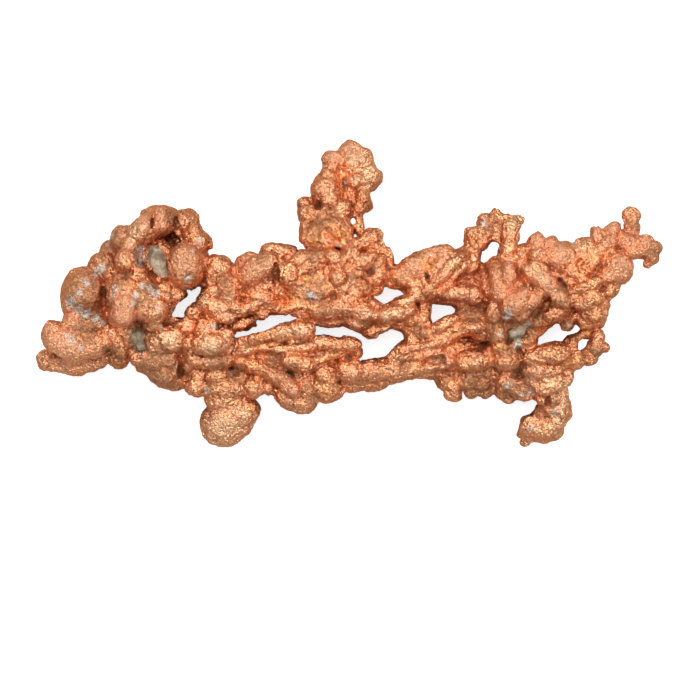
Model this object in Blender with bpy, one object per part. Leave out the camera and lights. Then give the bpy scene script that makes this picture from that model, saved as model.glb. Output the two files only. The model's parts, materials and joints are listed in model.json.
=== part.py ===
"""A native copper nugget: a flat, branching piece of metal 88 mm long, grown from rounded lumps.

The nugget lies on its back. X runs along its length, Y across it and Z up from the table, and the
origin is under the middle of its box. The metal is a crowd of lumps that melt into one another. How
deep a point lies inside that crowd is worked out on a fine lattice, and the skin is drawn where the
depth is nought. The metal is parted at its main forks, so that each branch is a solid of its own, and
the grains of country rock that are caught in the metal sit in pockets of their own shape.
"""
import itertools
import math
import random

import bmesh
import bpy
import numpy as np
from mathutils import Matrix, Vector, noise

MM = 0.001
LENGTH = 87.9  # along X, over all
WIDTH = 43.4  # along Y, over all
MIDDLE = 8.3  # height of the nugget's middle plane above the table
FLAT_REACH = 0.2
GAP = 0.3  # between the solids of two branches, and round each grain
SKIN_TRIANGLES = 9000
GRAIN_TRIANGLES = 600
LATTICE = 0.46  # spacing of the points on which the depth is worked out
GRAIN_LATTICE = 0.3
MELT = 0.32  # how softly one lump runs into the next
SWELL = 0.1  # added to every lump
WARP_REACH = 0.22  # the slow unevenness of the lumps, and the length of its waves
WARP_WAVE = 3.2
CRUST_DEPTH = 0.34  # the rough crust on the lumps
CRUST_WAVE = 1.5
DROOP = 0.0135  # how far the branches bend down towards the table: this times y squared
BACK_SEED = 11
BACK_SHRINK = 0.93  # the back's lumps stay inside the outline of the front's

COPPER_COLOUR = (0.75, 0.33, 0.17, 1.0)
PALE_ROCK_COLOUR = (0.56, 0.52, 0.44, 1.0)
DARK_ROCK_COLOUR = (0.20, 0.19, 0.15, 1.0)

# Every lump is: centre x, y, z, half length, half width, half height, and heading about Z in degrees.
# All are in millimetres from the nugget's middle, and z is from the table.
LEFT_CLUSTER = [
    # the thick heart of the cluster
    (-36.5, 0.0, 8.5, 2.9, 3.1, 5.0, 0), (-30.5, 0.0, 8.5, 4.2, 4.4, 5.6, 0),
    (-26.3, -6.3, 8.0, 3.4, 3.0, 4.0, 0), (-37.8, -6.6, 7.2, 3.6, 2.4, 3.2, 0),
    (-31.5, -5.5, 8.0, 3.2, 3.0, 3.6, 0), (-22.3, 4.5, 9.3, 2.3, 3.2, 4.0, 0),
    # the ring round the pale grain
    (-31.4, 7.2, 9.6, 1.8, 2.3, 3.4, 20), (-31.0, 4.4, 13.8, 1.4, 1.6, 1.6, 0),
    (-28.7, 8.9, 13.2, 2.1, 1.7, 2.2, 40), (-27.9, 9.9, 10.4, 2.2, 1.4, 3.0, 40),
    (-26.0, 10.2, 12.4, 1.5, 1.9, 2.6, 0), (-26.4, 11.0, 9.4, 2.6, 1.3, 2.6, -5),
    (-23.2, 9.9, 11.6, 1.3, 1.7, 2.8, 0), (-22.0, 9.9, 11.0, 1.0, 1.8, 2.5, 15),
    (-20.9, 8.3, 10.0, 2.4, 0.7, 1.6, -50), (-21.5, 7.3, 11.0, 1.8, 1.5, 2.2, -40),
    (-22.8, 4.5, 14.0, 2.4, 3.1, 2.6, 0), (-22.9, 5.4, 14.9, 1.9, 1.7, 2.0, 0),
    (-22.6, 2.2, 13.0, 2.0, 1.4, 2.1, 0), (-22.0, 1.6, 13.6, 0.8, 0.7, 1.2, 0),
    (-29.4, 2.7, 13.2, 1.3, 0.9, 1.4, -10), (-27.8, 2.2, 13.0, 1.4, 0.8, 1.3, -30),
    (-26.0, 1.0, 12.2, 1.8, 1.0, 1.5, -35), (-24.2, 0.0, 11.2, 1.9, 0.9, 1.8, -22),
    (-26.7, 4.8, 8.0, 2.6, 3.4, 2.4, 0),
    # the round knob at the left and its neighbours
    (-37.1, 0.3, 10.4, 2.85, 3.2, 3.6, 0), (-37.2, 0.4, 13.0, 1.9, 1.9, 1.8, 0),
    (-38.7, -1.3, 10.3, 1.4, 2.1, 2.4, 0), (-34.4, 4.1, 9.3, 1.9, 1.6, 2.6, 30),
    (-33.4, 3.2, 11.0, 1.1, 1.0, 1.4, 0),
    # the lumps in the middle of the cluster
    (-31.3, 0.9, 13.4, 1.9, 1.7, 2.0, 10), (-31.2, -1.6, 14.0, 1.8, 2.0, 2.0, 0),
    (-31.5, -3.1, 14.1, 1.8, 1.5, 1.8, 10), (-32.9, -0.4, 12.6, 0.9, 2.4, 1.6, 10),
    (-27.6, -1.9, 12.7, 2.5, 2.1, 2.2, -20), (-26.3, -0.9, 12.2, 1.5, 1.0, 1.4, -40),
    (-27.4, -4.2, 12.1, 1.1, 0.9, 1.2, 0),
    # the rough shelf, and the smooth bowl below it
    (-37.5, -4.3, 10.8, 2.5, 1.6, 2.0, 0), (-35.3, -4.0, 10.5, 1.6, 1.4, 1.8, 0),
    (-39.1, -3.6, 9.8, 0.8, 1.3, 1.8, 0), (-38.6, -7.0, 11.0, 3.3, 2.6, 2.3, 5),
    (-36.0, -7.0, 10.8, 2.5, 2.0, 2.1, 15), (-41.2, -6.1, 10.8, 1.6, 1.9, 1.9, 0),
    (-41.5, -5.1, 11.1, 1.1, 1.2, 1.4, 0),
    # the lower lip, ending in a small ball
    (-42.7, -9.3, 7.8, 1.1, 1.3, 1.3, 0), (-41.4, -10.0, 7.6, 1.6, 0.8, 1.1, -10),
    (-39.0, -10.3, 7.4, 2.2, 1.0, 1.5, -5), (-36.6, -9.9, 7.6, 2.2, 0.9, 1.4, 8),
    (-34.9, -9.5, 8.0, 1.5, 0.7, 1.2, 25), (-38.5, -9.2, 7.6, 3.2, 1.2, 1.6, 0),
    # the lumps round the dark grain, and the underside of the neck
    (-32.4, -7.0, 11.2, 2.1, 1.0, 1.5, -65), (-33.3, -5.6, 11.0, 0.9, 1.0, 1.2, 0),
    (-32.4, -9.2, 9.3, 1.2, 1.1, 1.6, 0), (-24.9, -6.2, 11.0, 2.0, 1.9, 1.9, 0),
    (-27.2, -7.2, 10.6, 1.3, 1.6, 1.6, 0), (-29.6, -9.0, 10.0, 1.2, 0.9, 1.2, -30),
    (-27.7, -9.3, 10.1, 2.0, 1.3, 1.7, -20), (-26.4, -11.1, 8.6, 2.4, 1.6, 2.6, -35),
    (-28.6, -9.9, 8.4, 1.5, 1.2, 2.0, -40), (-24.6, -12.2, 7.8, 1.4, 1.2, 2.0, -30),
    (-25.4, -9.0, 9.8, 1.1, 1.3, 1.4, 0),
]
MIDDLE_BODY = [
    # the heart of the beam
    (-18.0, -1.0, 8.3, 3.0, 3.2, 3.4, -40), (-12.5, 1.0, 8.3, 3.8, 3.0, 3.4, 10),
    (-5.5, 1.5, 8.3, 5.0, 4.2, 3.8, 0), (0.3, 1.7, 8.3, 2.9, 4.5, 3.6, 0),
    (1.6, -3.4, 8.2, 2.4, 1.7, 2.8, -10), (-19.5, -7.0, 7.8, 3.0, 3.2, 3.0, 0),
    # its left end
    (-18.4, 3.5, 10.0, 2.0, 1.7, 2.4, -25), (-19.3, 2.6, 10.5, 1.0, 1.6, 1.6, 0),
    (-17.8, 2.7, 11.0, 1.5, 0.7, 1.2, 50), (-19.7, -0.5, 10.6, 1.4, 1.9, 1.8, -30),
    (-18.2, -2.0, 10.9, 2.2, 1.4, 1.6, -20), (-16.9, 0.2, 10.9, 1.7, 2.2, 1.8, 0),
    (-15.7, -2.1, 11.2, 1.8, 1.0, 1.3, -15), (-17.6, -3.2, 11.2, 1.7, 0.8, 1.0, -15),
    (-21.7, -2.6, 9.8, 1.1, 1.0, 1.5, -40), (-22.5, -4.6, 9.6, 1.3, 1.1, 1.6, -20),
    # the oblong lump and the lobes behind it
    (-14.2, 4.1, 10.0, 1.8, 1.5, 2.0, 30), (-12.6, 3.5, 12.2, 3.1, 1.6, 1.7, 33),
    (-13.6, 1.6, 11.2, 1.4, 1.0, 1.2, 20), (-9.7, 6.0, 8.8, 2.5, 0.95, 1.6, -8),
    (-11.3, 6.0, 9.2, 1.1, 0.85, 1.4, 20), (-12.4, -0.5, 11.1, 1.9, 1.0, 1.2, -10),
    (-13.6, -1.9, 11.2, 1.0, 0.9, 1.0, 0), (-12.2, -2.6, 10.0, 1.1, 0.9, 1.2, 20),
    (-15.0, -4.2, 9.0, 2.0, 0.7, 1.5, 20), (-11.4, -1.3, 10.3, 1.4, 0.9, 1.2, 0),
    # the broad middle, its ridges and its furrow
    (-8.4, 2.6, 11.9, 1.6, 1.7, 1.7, 0), (-7.0, 1.3, 11.0, 1.6, 0.9, 1.2, 30),
    (-5.8, 3.6, 11.5, 2.6, 1.0, 1.4, 25), (-6.5, 4.9, 10.8, 1.8, 0.9, 1.4, 20),
    (-4.5, 5.2, 10.8, 1.6, 1.1, 1.5, 10), (-7.6, -1.7, 10.4, 2.6, 0.65, 1.2, 22),
    (-3.8, 0.2, 10.8, 2.4, 0.8, 1.2, 25), (-0.7, 0.7, 11.0, 1.5, 0.9, 1.2, 20),
    (-4.9, 1.9, 11.2, 1.5, 0.45, 0.8, 25), (-1.5, 2.3, 12.2, 1.1, 1.05, 1.1, 0),
    (-2.0, 5.0, 11.7, 1.7, 1.0, 1.4, -35), (-1.9, 3.8, 11.3, 0.8, 0.7, 1.0, 0),
    (0.2, 5.6, 11.0, 1.1, 1.3, 1.4, 0), (2.1, 4.4, 11.3, 2.0, 1.0, 1.5, 25),
    (1.0, 2.8, 11.0, 1.1, 0.8, 1.1, 0), (2.2, 0.9, 11.1, 1.0, 0.8, 1.1, -40),
    (4.0, 2.4, 10.2, 1.5, 0.9, 1.3, 40), (4.2, 4.3, 10.2, 1.0, 1.2, 1.3, 0),
    # the lower edge of the beam
    (-4.0, -2.3, 10.5, 2.4, 1.2, 1.5, -10), (-1.0, -1.9, 10.7, 2.0, 1.3, 1.5, 0),
    (-3.2, -3.8, 9.0, 2.6, 0.75, 1.6, -5), (0.8, -4.1, 9.4, 2.2, 0.75, 1.5, -15),
    (2.0, -2.6, 10.7, 1.7, 1.2, 1.4, -30), (3.1, -5.2, 8.4, 1.1, 1.0, 1.4, 0),
    (-6.8, -2.7, 9.4, 1.9, 0.55, 1.3, -15),
    # the small finger and the lobe at the foot of the upright arm
    (5.1, 5.8, 9.4, 0.75, 0.65, 0.8, 0), (5.7, 4.7, 9.2, 0.45, 1.3, 0.7, 10),
    (2.9, 7.6, 9.8, 1.9, 1.2, 1.5, 35), (1.2, 6.9, 10.0, 1.3, 0.9, 1.4, 15),
    (3.4, 6.0, 9.6, 1.7, 0.55, 1.0, 40),
    # the square lump over the lower lobe
    (-19.2, -7.0, 11.9, 2.6, 1.6, 1.7, 5), (-20.0, -4.9, 10.9, 1.6, 1.4, 1.5, 30),
    (-17.3, -5.6, 11.0, 1.3, 0.7, 1.2, 0), (-19.2, -9.5, 10.2, 2.3, 1.0, 1.6, 0),
    (-17.3, -9.3, 10.0, 1.3, 0.9, 1.4, 0), (-21.6, -9.2, 9.8, 1.2, 1.1, 1.6, 0),
    (-22.2, -7.4, 9.8, 0.9, 1.6, 1.6, 0),
]
UPRIGHT_ARM = [
    (-3.3, 9.5, 8.2, 3.1, 3.2, 3.0, 0), (-2.6, 14.0, 8.2, 2.2, 3.5, 2.7, 0),
    (0.2, 17.8, 8.2, 2.4, 2.7, 2.6, 0), (-4.9, 8.0, 10.2, 1.7, 1.9, 1.7, 0),
    (-2.6, 9.6, 10.8, 2.1, 0.8, 1.2, 10), (-3.6, 7.3, 10.4, 1.9, 0.8, 1.2, -10),
    (-1.4, 8.4, 10.6, 1.5, 0.7, 1.2, -30), (-6.0, 8.9, 9.4, 0.85, 1.9, 1.8, 0),
    (-0.6, 7.0, 9.8, 0.9, 1.0, 1.4, 0), (-6.1, 11.1, 9.6, 0.8, 1.2, 1.3, 0),
    (-5.2, 11.4, 10.0, 0.9, 0.9, 1.2, 0), (-6.2, 12.7, 9.4, 0.9, 0.9, 1.0, 0),
    (-3.3, 14.1, 10.6, 1.7, 2.0, 1.9, 0), (-2.9, 13.0, 11.0, 1.5, 1.1, 1.4, 0),
    (-3.0, 16.3, 10.0, 1.1, 1.5, 1.6, -15), (-4.4, 15.0, 9.4, 0.7, 1.9, 1.5, -12),
    (-2.5, 19.0, 10.2, 1.3, 1.15, 1.4, -20), (-2.6, 17.6, 9.6, 1.0, 0.9, 1.2, 0),
    (0.3, 20.0, 9.8, 1.6, 1.6, 1.7, 0), (0.4, 18.3, 10.6, 1.2, 1.4, 1.4, 0),
    (1.6, 18.9, 9.6, 1.4, 1.6, 1.7, -30), (1.4, 16.0, 10.4, 1.5, 1.0, 1.4, 10),
    (2.8, 16.5, 10.0, 1.2, 1.4, 1.4, -20), (3.9, 16.7, 8.8, 0.65, 1.0, 1.2, 25),
    (2.6, 15.2, 9.2, 1.4, 0.6, 1.1, 15), (2.9, 17.8, 9.0, 0.8, 0.8, 1.2, -40),
    (1.9, 13.2, 9.2, 0.85, 1.8, 1.6, 0), (1.4, 11.9, 9.2, 0.9, 0.7, 1.2, 30),
    (-0.5, 12.1, 10.6, 0.65, 1.0, 0.9, 0), (-1.7, 11.6, 10.2, 0.8, 1.2, 1.0, 0),
    (-1.0, 10.5, 10.4, 0.7, 0.6, 0.8, 0), (-0.4, 9.0, 10.2, 0.7, 1.1, 1.0, 20),
    (-3.8, 11.3, 10.0, 1.3, 0.9, 1.2, 0), (1.35, 9.7, 8.8, 0.5, 1.5, 0.6, 8),
    (1.0, 11.2, 9.0, 0.6, 0.5, 0.7, 0),
]
LOWER_LOBE = [
    (-21.4, -12.7, 8.8, 1.6, 1.7, 1.8, 0), (-21.0, -11.3, 8.8, 1.4, 1.1, 1.5, 0),
    (-17.8, -12.8, 8.8, 2.5, 2.3, 2.4, 0), (-18.6, -11.4, 9.6, 1.7, 1.3, 1.6, 0),
    (-18.0, -14.9, 8.8, 2.2, 1.5, 2.2, 0), (-16.2, -13.2, 9.4, 1.5, 1.4, 1.6, 0),
    (-17.7, -18.4, 8.6, 3.2, 3.05, 2.8, 10), (-15.3, -16.7, 8.8, 2.6, 2.0, 2.3, 20),
    (-15.7, -15.3, 8.6, 2.1, 1.2, 2.0, -30), (-17.4, -17.6, 10.1, 2.0, 1.7, 1.5, 0),
    (-13.5, -13.0, 9.4, 1.5, 1.6, 1.6, 0), (-13.6, -12.9, 10.5, 0.9, 0.9, 0.8, 0),
]
LOWER_SPEAR = [
    (-8.0, -8.5, 7.8, 6.8, 2.2, 2.0, -5), (-5.0, -12.0, 7.6, 3.6, 2.4, 2.0, -20),
    (-12.2, -6.0, 9.8, 2.8, 0.9, 1.5, 12), (-9.5, -5.4, 10.2, 2.0, 1.1, 1.5, 10),
    (-6.9, -5.0, 10.6, 2.1, 1.1, 1.3, -3), (-14.7, -6.8, 9.6, 1.3, 0.8, 1.2, 15),
    (-3.0, -7.0, 9.8, 2.6, 1.0, 1.3, -5), (-0.2, -7.1, 9.8, 1.9, 1.0, 1.3, 0),
    (-6.5, -7.5, 9.8, 2.4, 0.6, 1.1, 0), (-2.0, -8.5, 9.6, 3.6, 0.45, 0.9, 8),
    (1.0, -8.2, 9.4, 0.75, 0.7, 1.1, 0), (-10.8, -7.7, 9.8, 2.8, 0.55, 1.0, -4),
    (-14.2, -8.0, 9.6, 1.6, 0.6, 1.0, 5), (-7.1, -9.7, 10.4, 2.3, 1.2, 1.4, -10),
    (-4.0, -9.1, 9.8, 1.5, 0.55, 0.9, 10), (-13.2, -10.2, 9.6, 2.0, 1.0, 1.4, -20),
    (-10.9, -11.3, 9.6, 2.2, 0.9, 1.4, -30), (-8.6, -12.7, 10.2, 2.2, 1.0, 1.3, -48),
    (-7.3, -15.1, 8.4, 2.6, 1.5, 2.0, -5), (-9.2, -14.2, 8.4, 1.2, 1.5, 1.9, 20),
    (-5.9, -13.2, 8.2, 1.5, 2.3, 1.8, 0), (-6.6, -15.6, 9.0, 1.6, 1.0, 1.4, 0),
    (-3.4, -11.3, 9.4, 1.4, 1.3, 1.5, 0), (-3.0, -13.2, 9.0, 1.8, 1.8, 1.8, 20),
    (-4.2, -13.2, 9.6, 0.8, 1.0, 1.0, 0), (-2.6, -12.3, 9.8, 0.9, 1.0, 1.0, 0),
]
RIGHT_BEAM = [
    # the strands' hearts, which leave the two windows open
    (11.0, 3.0, 7.8, 4.4, 2.1, 2.4, 30), (8.1, -2.8, 7.7, 3.0, 1.3, 2.0, 0),
    (16.8, 0.8, 7.8, 2.4, 1.4, 2.0, 0), (5.5, -10.4, 7.8, 4.8, 1.3, 1.8, 3),
    (14.0, -8.4, 7.8, 6.0, 2.3, 2.4, 5),
    # the flat-faced wedge and its long ridges
    (9.0, 3.6, 9.6, 2.9, 1.6, 2.0, 25), (7.2, 2.3, 9.8, 1.9, 1.2, 1.5, -20),
    (8.8, 1.6, 9.6, 1.8, 0.8, 1.3, -15), (10.8, 5.0, 9.2, 2.3, 1.1, 1.7, 12),
    (13.0, 5.3, 9.4, 2.2, 1.4, 1.7, 0), (13.7, 3.2, 11.1, 3.6, 0.8, 1.2, 46),
    (12.2, 3.4, 10.4, 3.3, 0.8, 1.2, 46), (15.3, 4.7, 10.2, 1.7, 0.9, 1.3, 40),
    (11.3, 0.6, 10.2, 1.3, 1.1, 1.4, 0), (14.8, 2.5, 10.2, 2.8, 0.6, 1.1, 42),
    (17.3, 3.6, 9.2, 1.4, 0.7, 1.2, 30),
    # the lump beside the dark hollow, and the arch over the window
    (15.2, 0.1, 10.8, 2.2, 1.0, 1.4, 8), (17.5, -0.2, 11.0, 1.25, 1.2, 1.3, 0),
    (13.7, 0.0, 10.0, 1.2, 0.8, 1.2, 0), (10.0, -0.3, 9.6, 1.9, 0.8, 1.3, -15),
    (13.6, -0.8, 8.2, 4.0, 0.7, 1.2, -8), (17.0, -2.1, 8.0, 2.2, 0.9, 1.4, -10),
    # the lower strand of the window, with its striped flake
    (6.6, -2.7, 10.9, 3.0, 1.0, 1.4, 12), (7.6, -1.2, 10.2, 2.1, 0.7, 1.2, 20),
    (5.4, -3.6, 10.0, 1.5, 0.9, 1.2, 0), (8.6, -3.5, 9.2, 1.8, 1.1, 1.4, -10),
    (5.0, -4.6, 8.8, 1.2, 0.6, 1.2, 20), (9.4, -5.1, 8.4, 1.8, 1.2, 1.5, 0),
    (10.5, -3.9, 8.6, 0.8, 1.2, 1.5, 0),
    # the ridges of the lower beam, and the blunt end towards the spear
    (13.4, -4.3, 10.2, 2.2, 0.75, 1.2, 22), (11.0, -5.4, 9.6, 1.6, 0.9, 1.2, 10),
    (17.0, -4.7, 10.2, 2.1, 1.0, 1.4, 10), (14.6, -5.6, 10.0, 2.6, 0.7, 1.1, 12),
    (18.4, -5.5, 9.6, 1.1, 1.0, 1.3, 0), (8.3, -7.7, 9.8, 2.3, 0.8, 1.2, 15),
    (12.3, -6.9, 10.2, 2.9, 0.7, 1.2, 14), (7.2, -8.9, 9.6, 2.0, 0.8, 1.2, 5),
    (11.2, -8.6, 10.4, 2.6, 0.4, 0.8, 10), (11.5, -10.3, 10.2, 2.6, 0.45, 0.9, 6),
    (13.9, -9.3, 10.2, 0.5, 0.9, 1.0, 0), (8.8, -10.6, 9.6, 2.2, 0.9, 1.4, 8),
    (0.1, -10.8, 10.2, 2.1, 1.5, 1.7, -5), (3.6, -10.8, 9.6, 2.4, 1.4, 1.6, 0),
    (6.2, -10.5, 9.4, 1.8, 1.5, 1.6, 0), (1.2, -11.9, 8.8, 2.0, 0.8, 1.4, 0),
    (17.2, -9.4, 10.8, 2.4, 1.5, 1.7, 0), (19.3, -9.0, 10.2, 1.0, 1.3, 1.4, 0),
    # the stubs below
    (14.2, -12.4, 8.4, 0.8, 2.1, 1.0, 15), (14.8, -14.1, 8.4, 0.85, 0.9, 1.0, 0),
    (16.6, -12.2, 8.2, 1.6, 1.1, 1.5, 0), (18.6, -12.3, 8.2, 1.4, 1.1, 1.5, 0),
    (17.3, -13.7, 8.0, 0.8, 0.8, 0.9, 0), (19.4, -13.9, 8.0, 0.9, 0.7, 0.9, 30),
]
RIGHT_HUB = [
    # the heart of the hub
    (23.5, -1.0, 8.3, 3.5, 4.5, 4.2, 0), (22.4, -7.5, 8.0, 2.8, 3.8, 3.4, 0),
    (31.0, 2.5, 8.3, 5.8, 3.4, 3.4, 15), (34.0, -1.5, 8.0, 2.2, 3.4, 2.8, 10),
    (28.2, -1.7, 8.2, 3.4, 2.2, 3.2, 0), (36.8, 4.0, 8.0, 2.3, 2.8, 2.6, 0),
    # the curled lump on its left
    (21.8, 2.4, 12.6, 1.3, 2.6, 2.0, 5), (21.1, 0.4, 12.4, 1.0, 1.6, 1.6, 20),
    (23.6, -1.0, 13.3, 3.0, 1.8, 2.0, 18), (25.6, -0.6, 13.2, 1.4, 1.3, 1.6, 45),
    (23.4, 1.2, 12.0, 1.1, 0.9, 1.3, -30), (22.8, -2.9, 12.2, 1.7, 0.9, 1.4, 10),
    (24.3, -2.9, 12.5, 1.3, 0.8, 1.3, 40), (20.2, 4.1, 10.8, 1.2, 0.9, 1.6, 40),
    # the slanting block and what is under it
    (27.3, 1.5, 13.3, 3.7, 1.5, 1.8, -43), (25.6, 3.4, 12.7, 1.4, 1.2, 1.5, 0),
    (28.6, -2.6, 11.5, 2.0, 1.4, 1.6, 20), (27.2, -3.9, 10.8, 1.7, 0.9, 1.4, 15),
    (29.6, -1.0, 11.9, 1.5, 1.0, 1.4, 30), (30.4, -1.9, 12.0, 2.6, 0.35, 0.9, 48),
    (26.2, -5.2, 10.0, 1.2, 0.7, 1.2, 20),
    # the tarnished metal round the pale grain
    (20.4, -2.6, 10.8, 1.2, 2.0, 1.8, 0), (20.8, -5.4, 10.6, 1.4, 1.8, 1.7, 0),
    (21.3, -7.4, 10.6, 1.4, 1.2, 1.5, 0), (25.2, -6.6, 9.8, 1.1, 0.9, 1.3, 0),
    (22.0, -9.3, 11.1, 1.8, 1.3, 1.5, -5),
    # the fingers along the top edge
    (26.3, 6.6, 10.2, 1.1, 1.9, 1.3, -5), (26.3, 5.0, 10.8, 1.4, 1.2, 1.4, 0),
    (28.5, 6.6, 9.8, 1.0, 1.3, 1.3, 0), (30.3, 6.3, 9.8, 0.9, 1.0, 1.2, 0),
    (29.6, 4.9, 11.2, 2.3, 1.8, 1.8, 0), (32.7, 5.9, 10.4, 1.7, 1.9, 1.6, -30),
    (34.8, 7.8, 9.6, 0.7, 1.5, 1.0, -5), (36.9, 8.7, 9.6, 0.9, 1.4, 1.1, -25),
    (24.6, 5.9, 9.6, 0.9, 0.8, 1.2, 0), (35.4, 6.2, 10.8, 0.7, 2.0, 1.2, -30),
    (36.6, 6.8, 10.4, 0.65, 1.6, 1.1, -20), (34.2, 5.0, 11.0, 1.2, 1.4, 1.3, -30),
    # the right flank
    (37.5, 3.5, 10.8, 2.0, 2.1, 1.9, 0), (36.0, 2.3, 11.2, 1.5, 1.0, 1.3, 20),
    (38.2, 2.9, 9.6, 1.4, 1.3, 1.6, 0), (36.5, 0.6, 9.8, 1.0, 1.6, 1.5, -30),
    (31.2, 3.0, 11.2, 0.9, 1.0, 1.2, 0), (32.3, 2.3, 11.4, 0.9, 0.7, 1.0, 0),
    (33.2, 3.6, 11.2, 1.0, 0.9, 1.2, 0), (31.0, 0.6, 11.2, 0.8, 0.8, 1.0, 0),
    (33.2, 1.0, 11.8, 3.0, 0.8, 1.2, 22), (33.6, -0.9, 11.4, 2.2, 1.1, 1.4, 25),
    (34.2, -2.7, 10.6, 1.8, 1.5, 1.6, 0), (33.2, -3.8, 9.8, 1.2, 1.1, 1.4, 0),
    (35.2, -3.6, 9.0, 0.55, 0.9, 1.0, 0), (35.4, -1.6, 9.6, 0.9, 1.0, 1.2, 0),
    (30.5, -4.1, 9.6, 0.9, 1.0, 1.1, 20),
    # the small arch at the top left
    (16.2, 5.6, 9.4, 1.3, 0.9, 1.3, 30), (17.7, 6.6, 9.4, 1.1, 1.1, 1.3, 50),
    (17.5, 8.0, 9.6, 1.3, 1.3, 1.3, 0), (19.1, 8.8, 9.4, 1.2, 1.0, 1.2, 45),
    (19.1, 10.3, 9.6, 1.0, 0.8, 1.0, 20), (20.5, 10.5, 9.4, 0.8, 1.0, 1.0, 0),
    (20.7, 11.3, 9.4, 0.55, 0.55, 0.7, 0), (20.9, 9.0, 8.8, 1.0, 1.3, 1.0, 0),
    (22.0, 10.6, 9.4, 0.9, 0.6, 0.8, 0), (23.6, 10.3, 9.4, 0.75, 0.55, 0.8, -10),
    (22.7, 9.4, 9.8, 1.2, 1.0, 1.2, 0), (22.7, 8.0, 9.6, 1.1, 1.3, 1.2, -5),
    (22.4, 6.2, 9.8, 1.1, 1.5, 1.3, -5), (17.6, 5.2, 9.2, 0.9, 0.7, 1.1, 0),
    # the arm at the far right, with its knob and hook
    (39.6, 11.0, 9.4, 1.15, 1.0, 1.15, 0), (39.7, 9.3, 9.2, 0.9, 1.3, 0.95, 0),
    (39.0, 7.1, 9.6, 1.2, 1.2, 1.2, 30), (39.7, 5.9, 9.4, 1.4, 0.8, 1.1, -15),
    (41.5, 7.0, 9.4, 1.4, 1.1, 1.1, -10), (42.9, 6.4, 9.0, 0.9, 0.9, 1.0, 0),
    (42.5, 5.1, 8.8, 0.8, 0.8, 0.9, 20), (41.8, 4.1, 8.6, 0.5, 0.45, 0.6, 30),
    (41.2, 5.9, 9.2, 0.9, 0.7, 1.0, 0),
    # the tarnished wedge under the hub
    (23.6, -13.0, 9.4, 2.6, 1.4, 1.7, -38), (22.0, -12.3, 9.6, 1.2, 1.3, 1.5, 0),
    (24.5, -14.0, 8.6, 1.2, 1.0, 1.3, 0), (22.6, -14.5, 8.4, 1.0, 0.9, 1.2, 0),
]
RIGHT_FOOT = [
    (27.9, -10.5, 7.9, 2.9, 3.3, 2.8, 0), (29.0, -15.5, 7.6, 1.6, 3.0, 1.8, 0),
    (28.3, -8.4, 11.3, 2.6, 1.3, 1.6, 5), (25.8, -8.9, 10.8, 1.6, 1.1, 1.4, 10),
    (30.0, -9.2, 10.0, 1.2, 1.2, 1.5, 0), (27.0, -10.8, 10.6, 2.7, 1.0, 1.4, 5),
    (28.2, -12.6, 10.4, 2.3, 1.5, 1.5, 10), (25.7, -12.0, 9.8, 1.4, 1.3, 1.4, -40),
    (28.0, -14.6, 9.6, 1.6, 1.3, 1.5, 0), (30.6, -11.8, 9.2, 0.75, 1.1, 1.2, 0),
    (29.9, -15.0, 8.8, 0.8, 3.3, 1.4, 2), (28.8, -15.8, 9.0, 1.5, 1.4, 1.5, 0),
    # the toe, with two small tips
    (29.3, -17.4, 8.8, 1.5, 1.7, 1.6, 0), (27.8, -18.6, 8.8, 2.3, 1.6, 1.6, 15),
    (25.8, -18.6, 8.6, 1.4, 1.3, 1.4, 0), (29.3, -19.2, 8.4, 1.0, 1.0, 1.2, 0),
    (27.4, -20.2, 8.2, 2.2, 0.6, 1.1, -2), (24.5, -19.8, 8.2, 0.5, 0.4, 0.5, 0),
    (24.9, -21.0, 8.2, 0.55, 0.4, 0.5, -10), (25.7, -20.4, 8.2, 0.9, 0.5, 0.8, 10),
    # the fork that loops back to the hub
    (31.8, -9.0, 9.4, 1.1, 1.4, 1.3, 0), (33.8, -9.1, 8.6, 1.1, 0.65, 1.0, 15),
    (34.6, -7.6, 8.8, 1.1, 1.1, 1.2, 0), (35.9, -7.5, 8.6, 0.7, 0.55, 0.8, 0),
    (34.9, -6.0, 8.6, 0.7, 0.9, 1.0, 20), (31.3, -6.5, 7.8, 1.4, 0.6, 0.8, 30),
    (33.2, -5.5, 8.0, 1.4, 0.6, 0.8, 25), (30.9, -10.4, 8.8, 0.8, 0.7, 1.1, 30),
]
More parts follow.
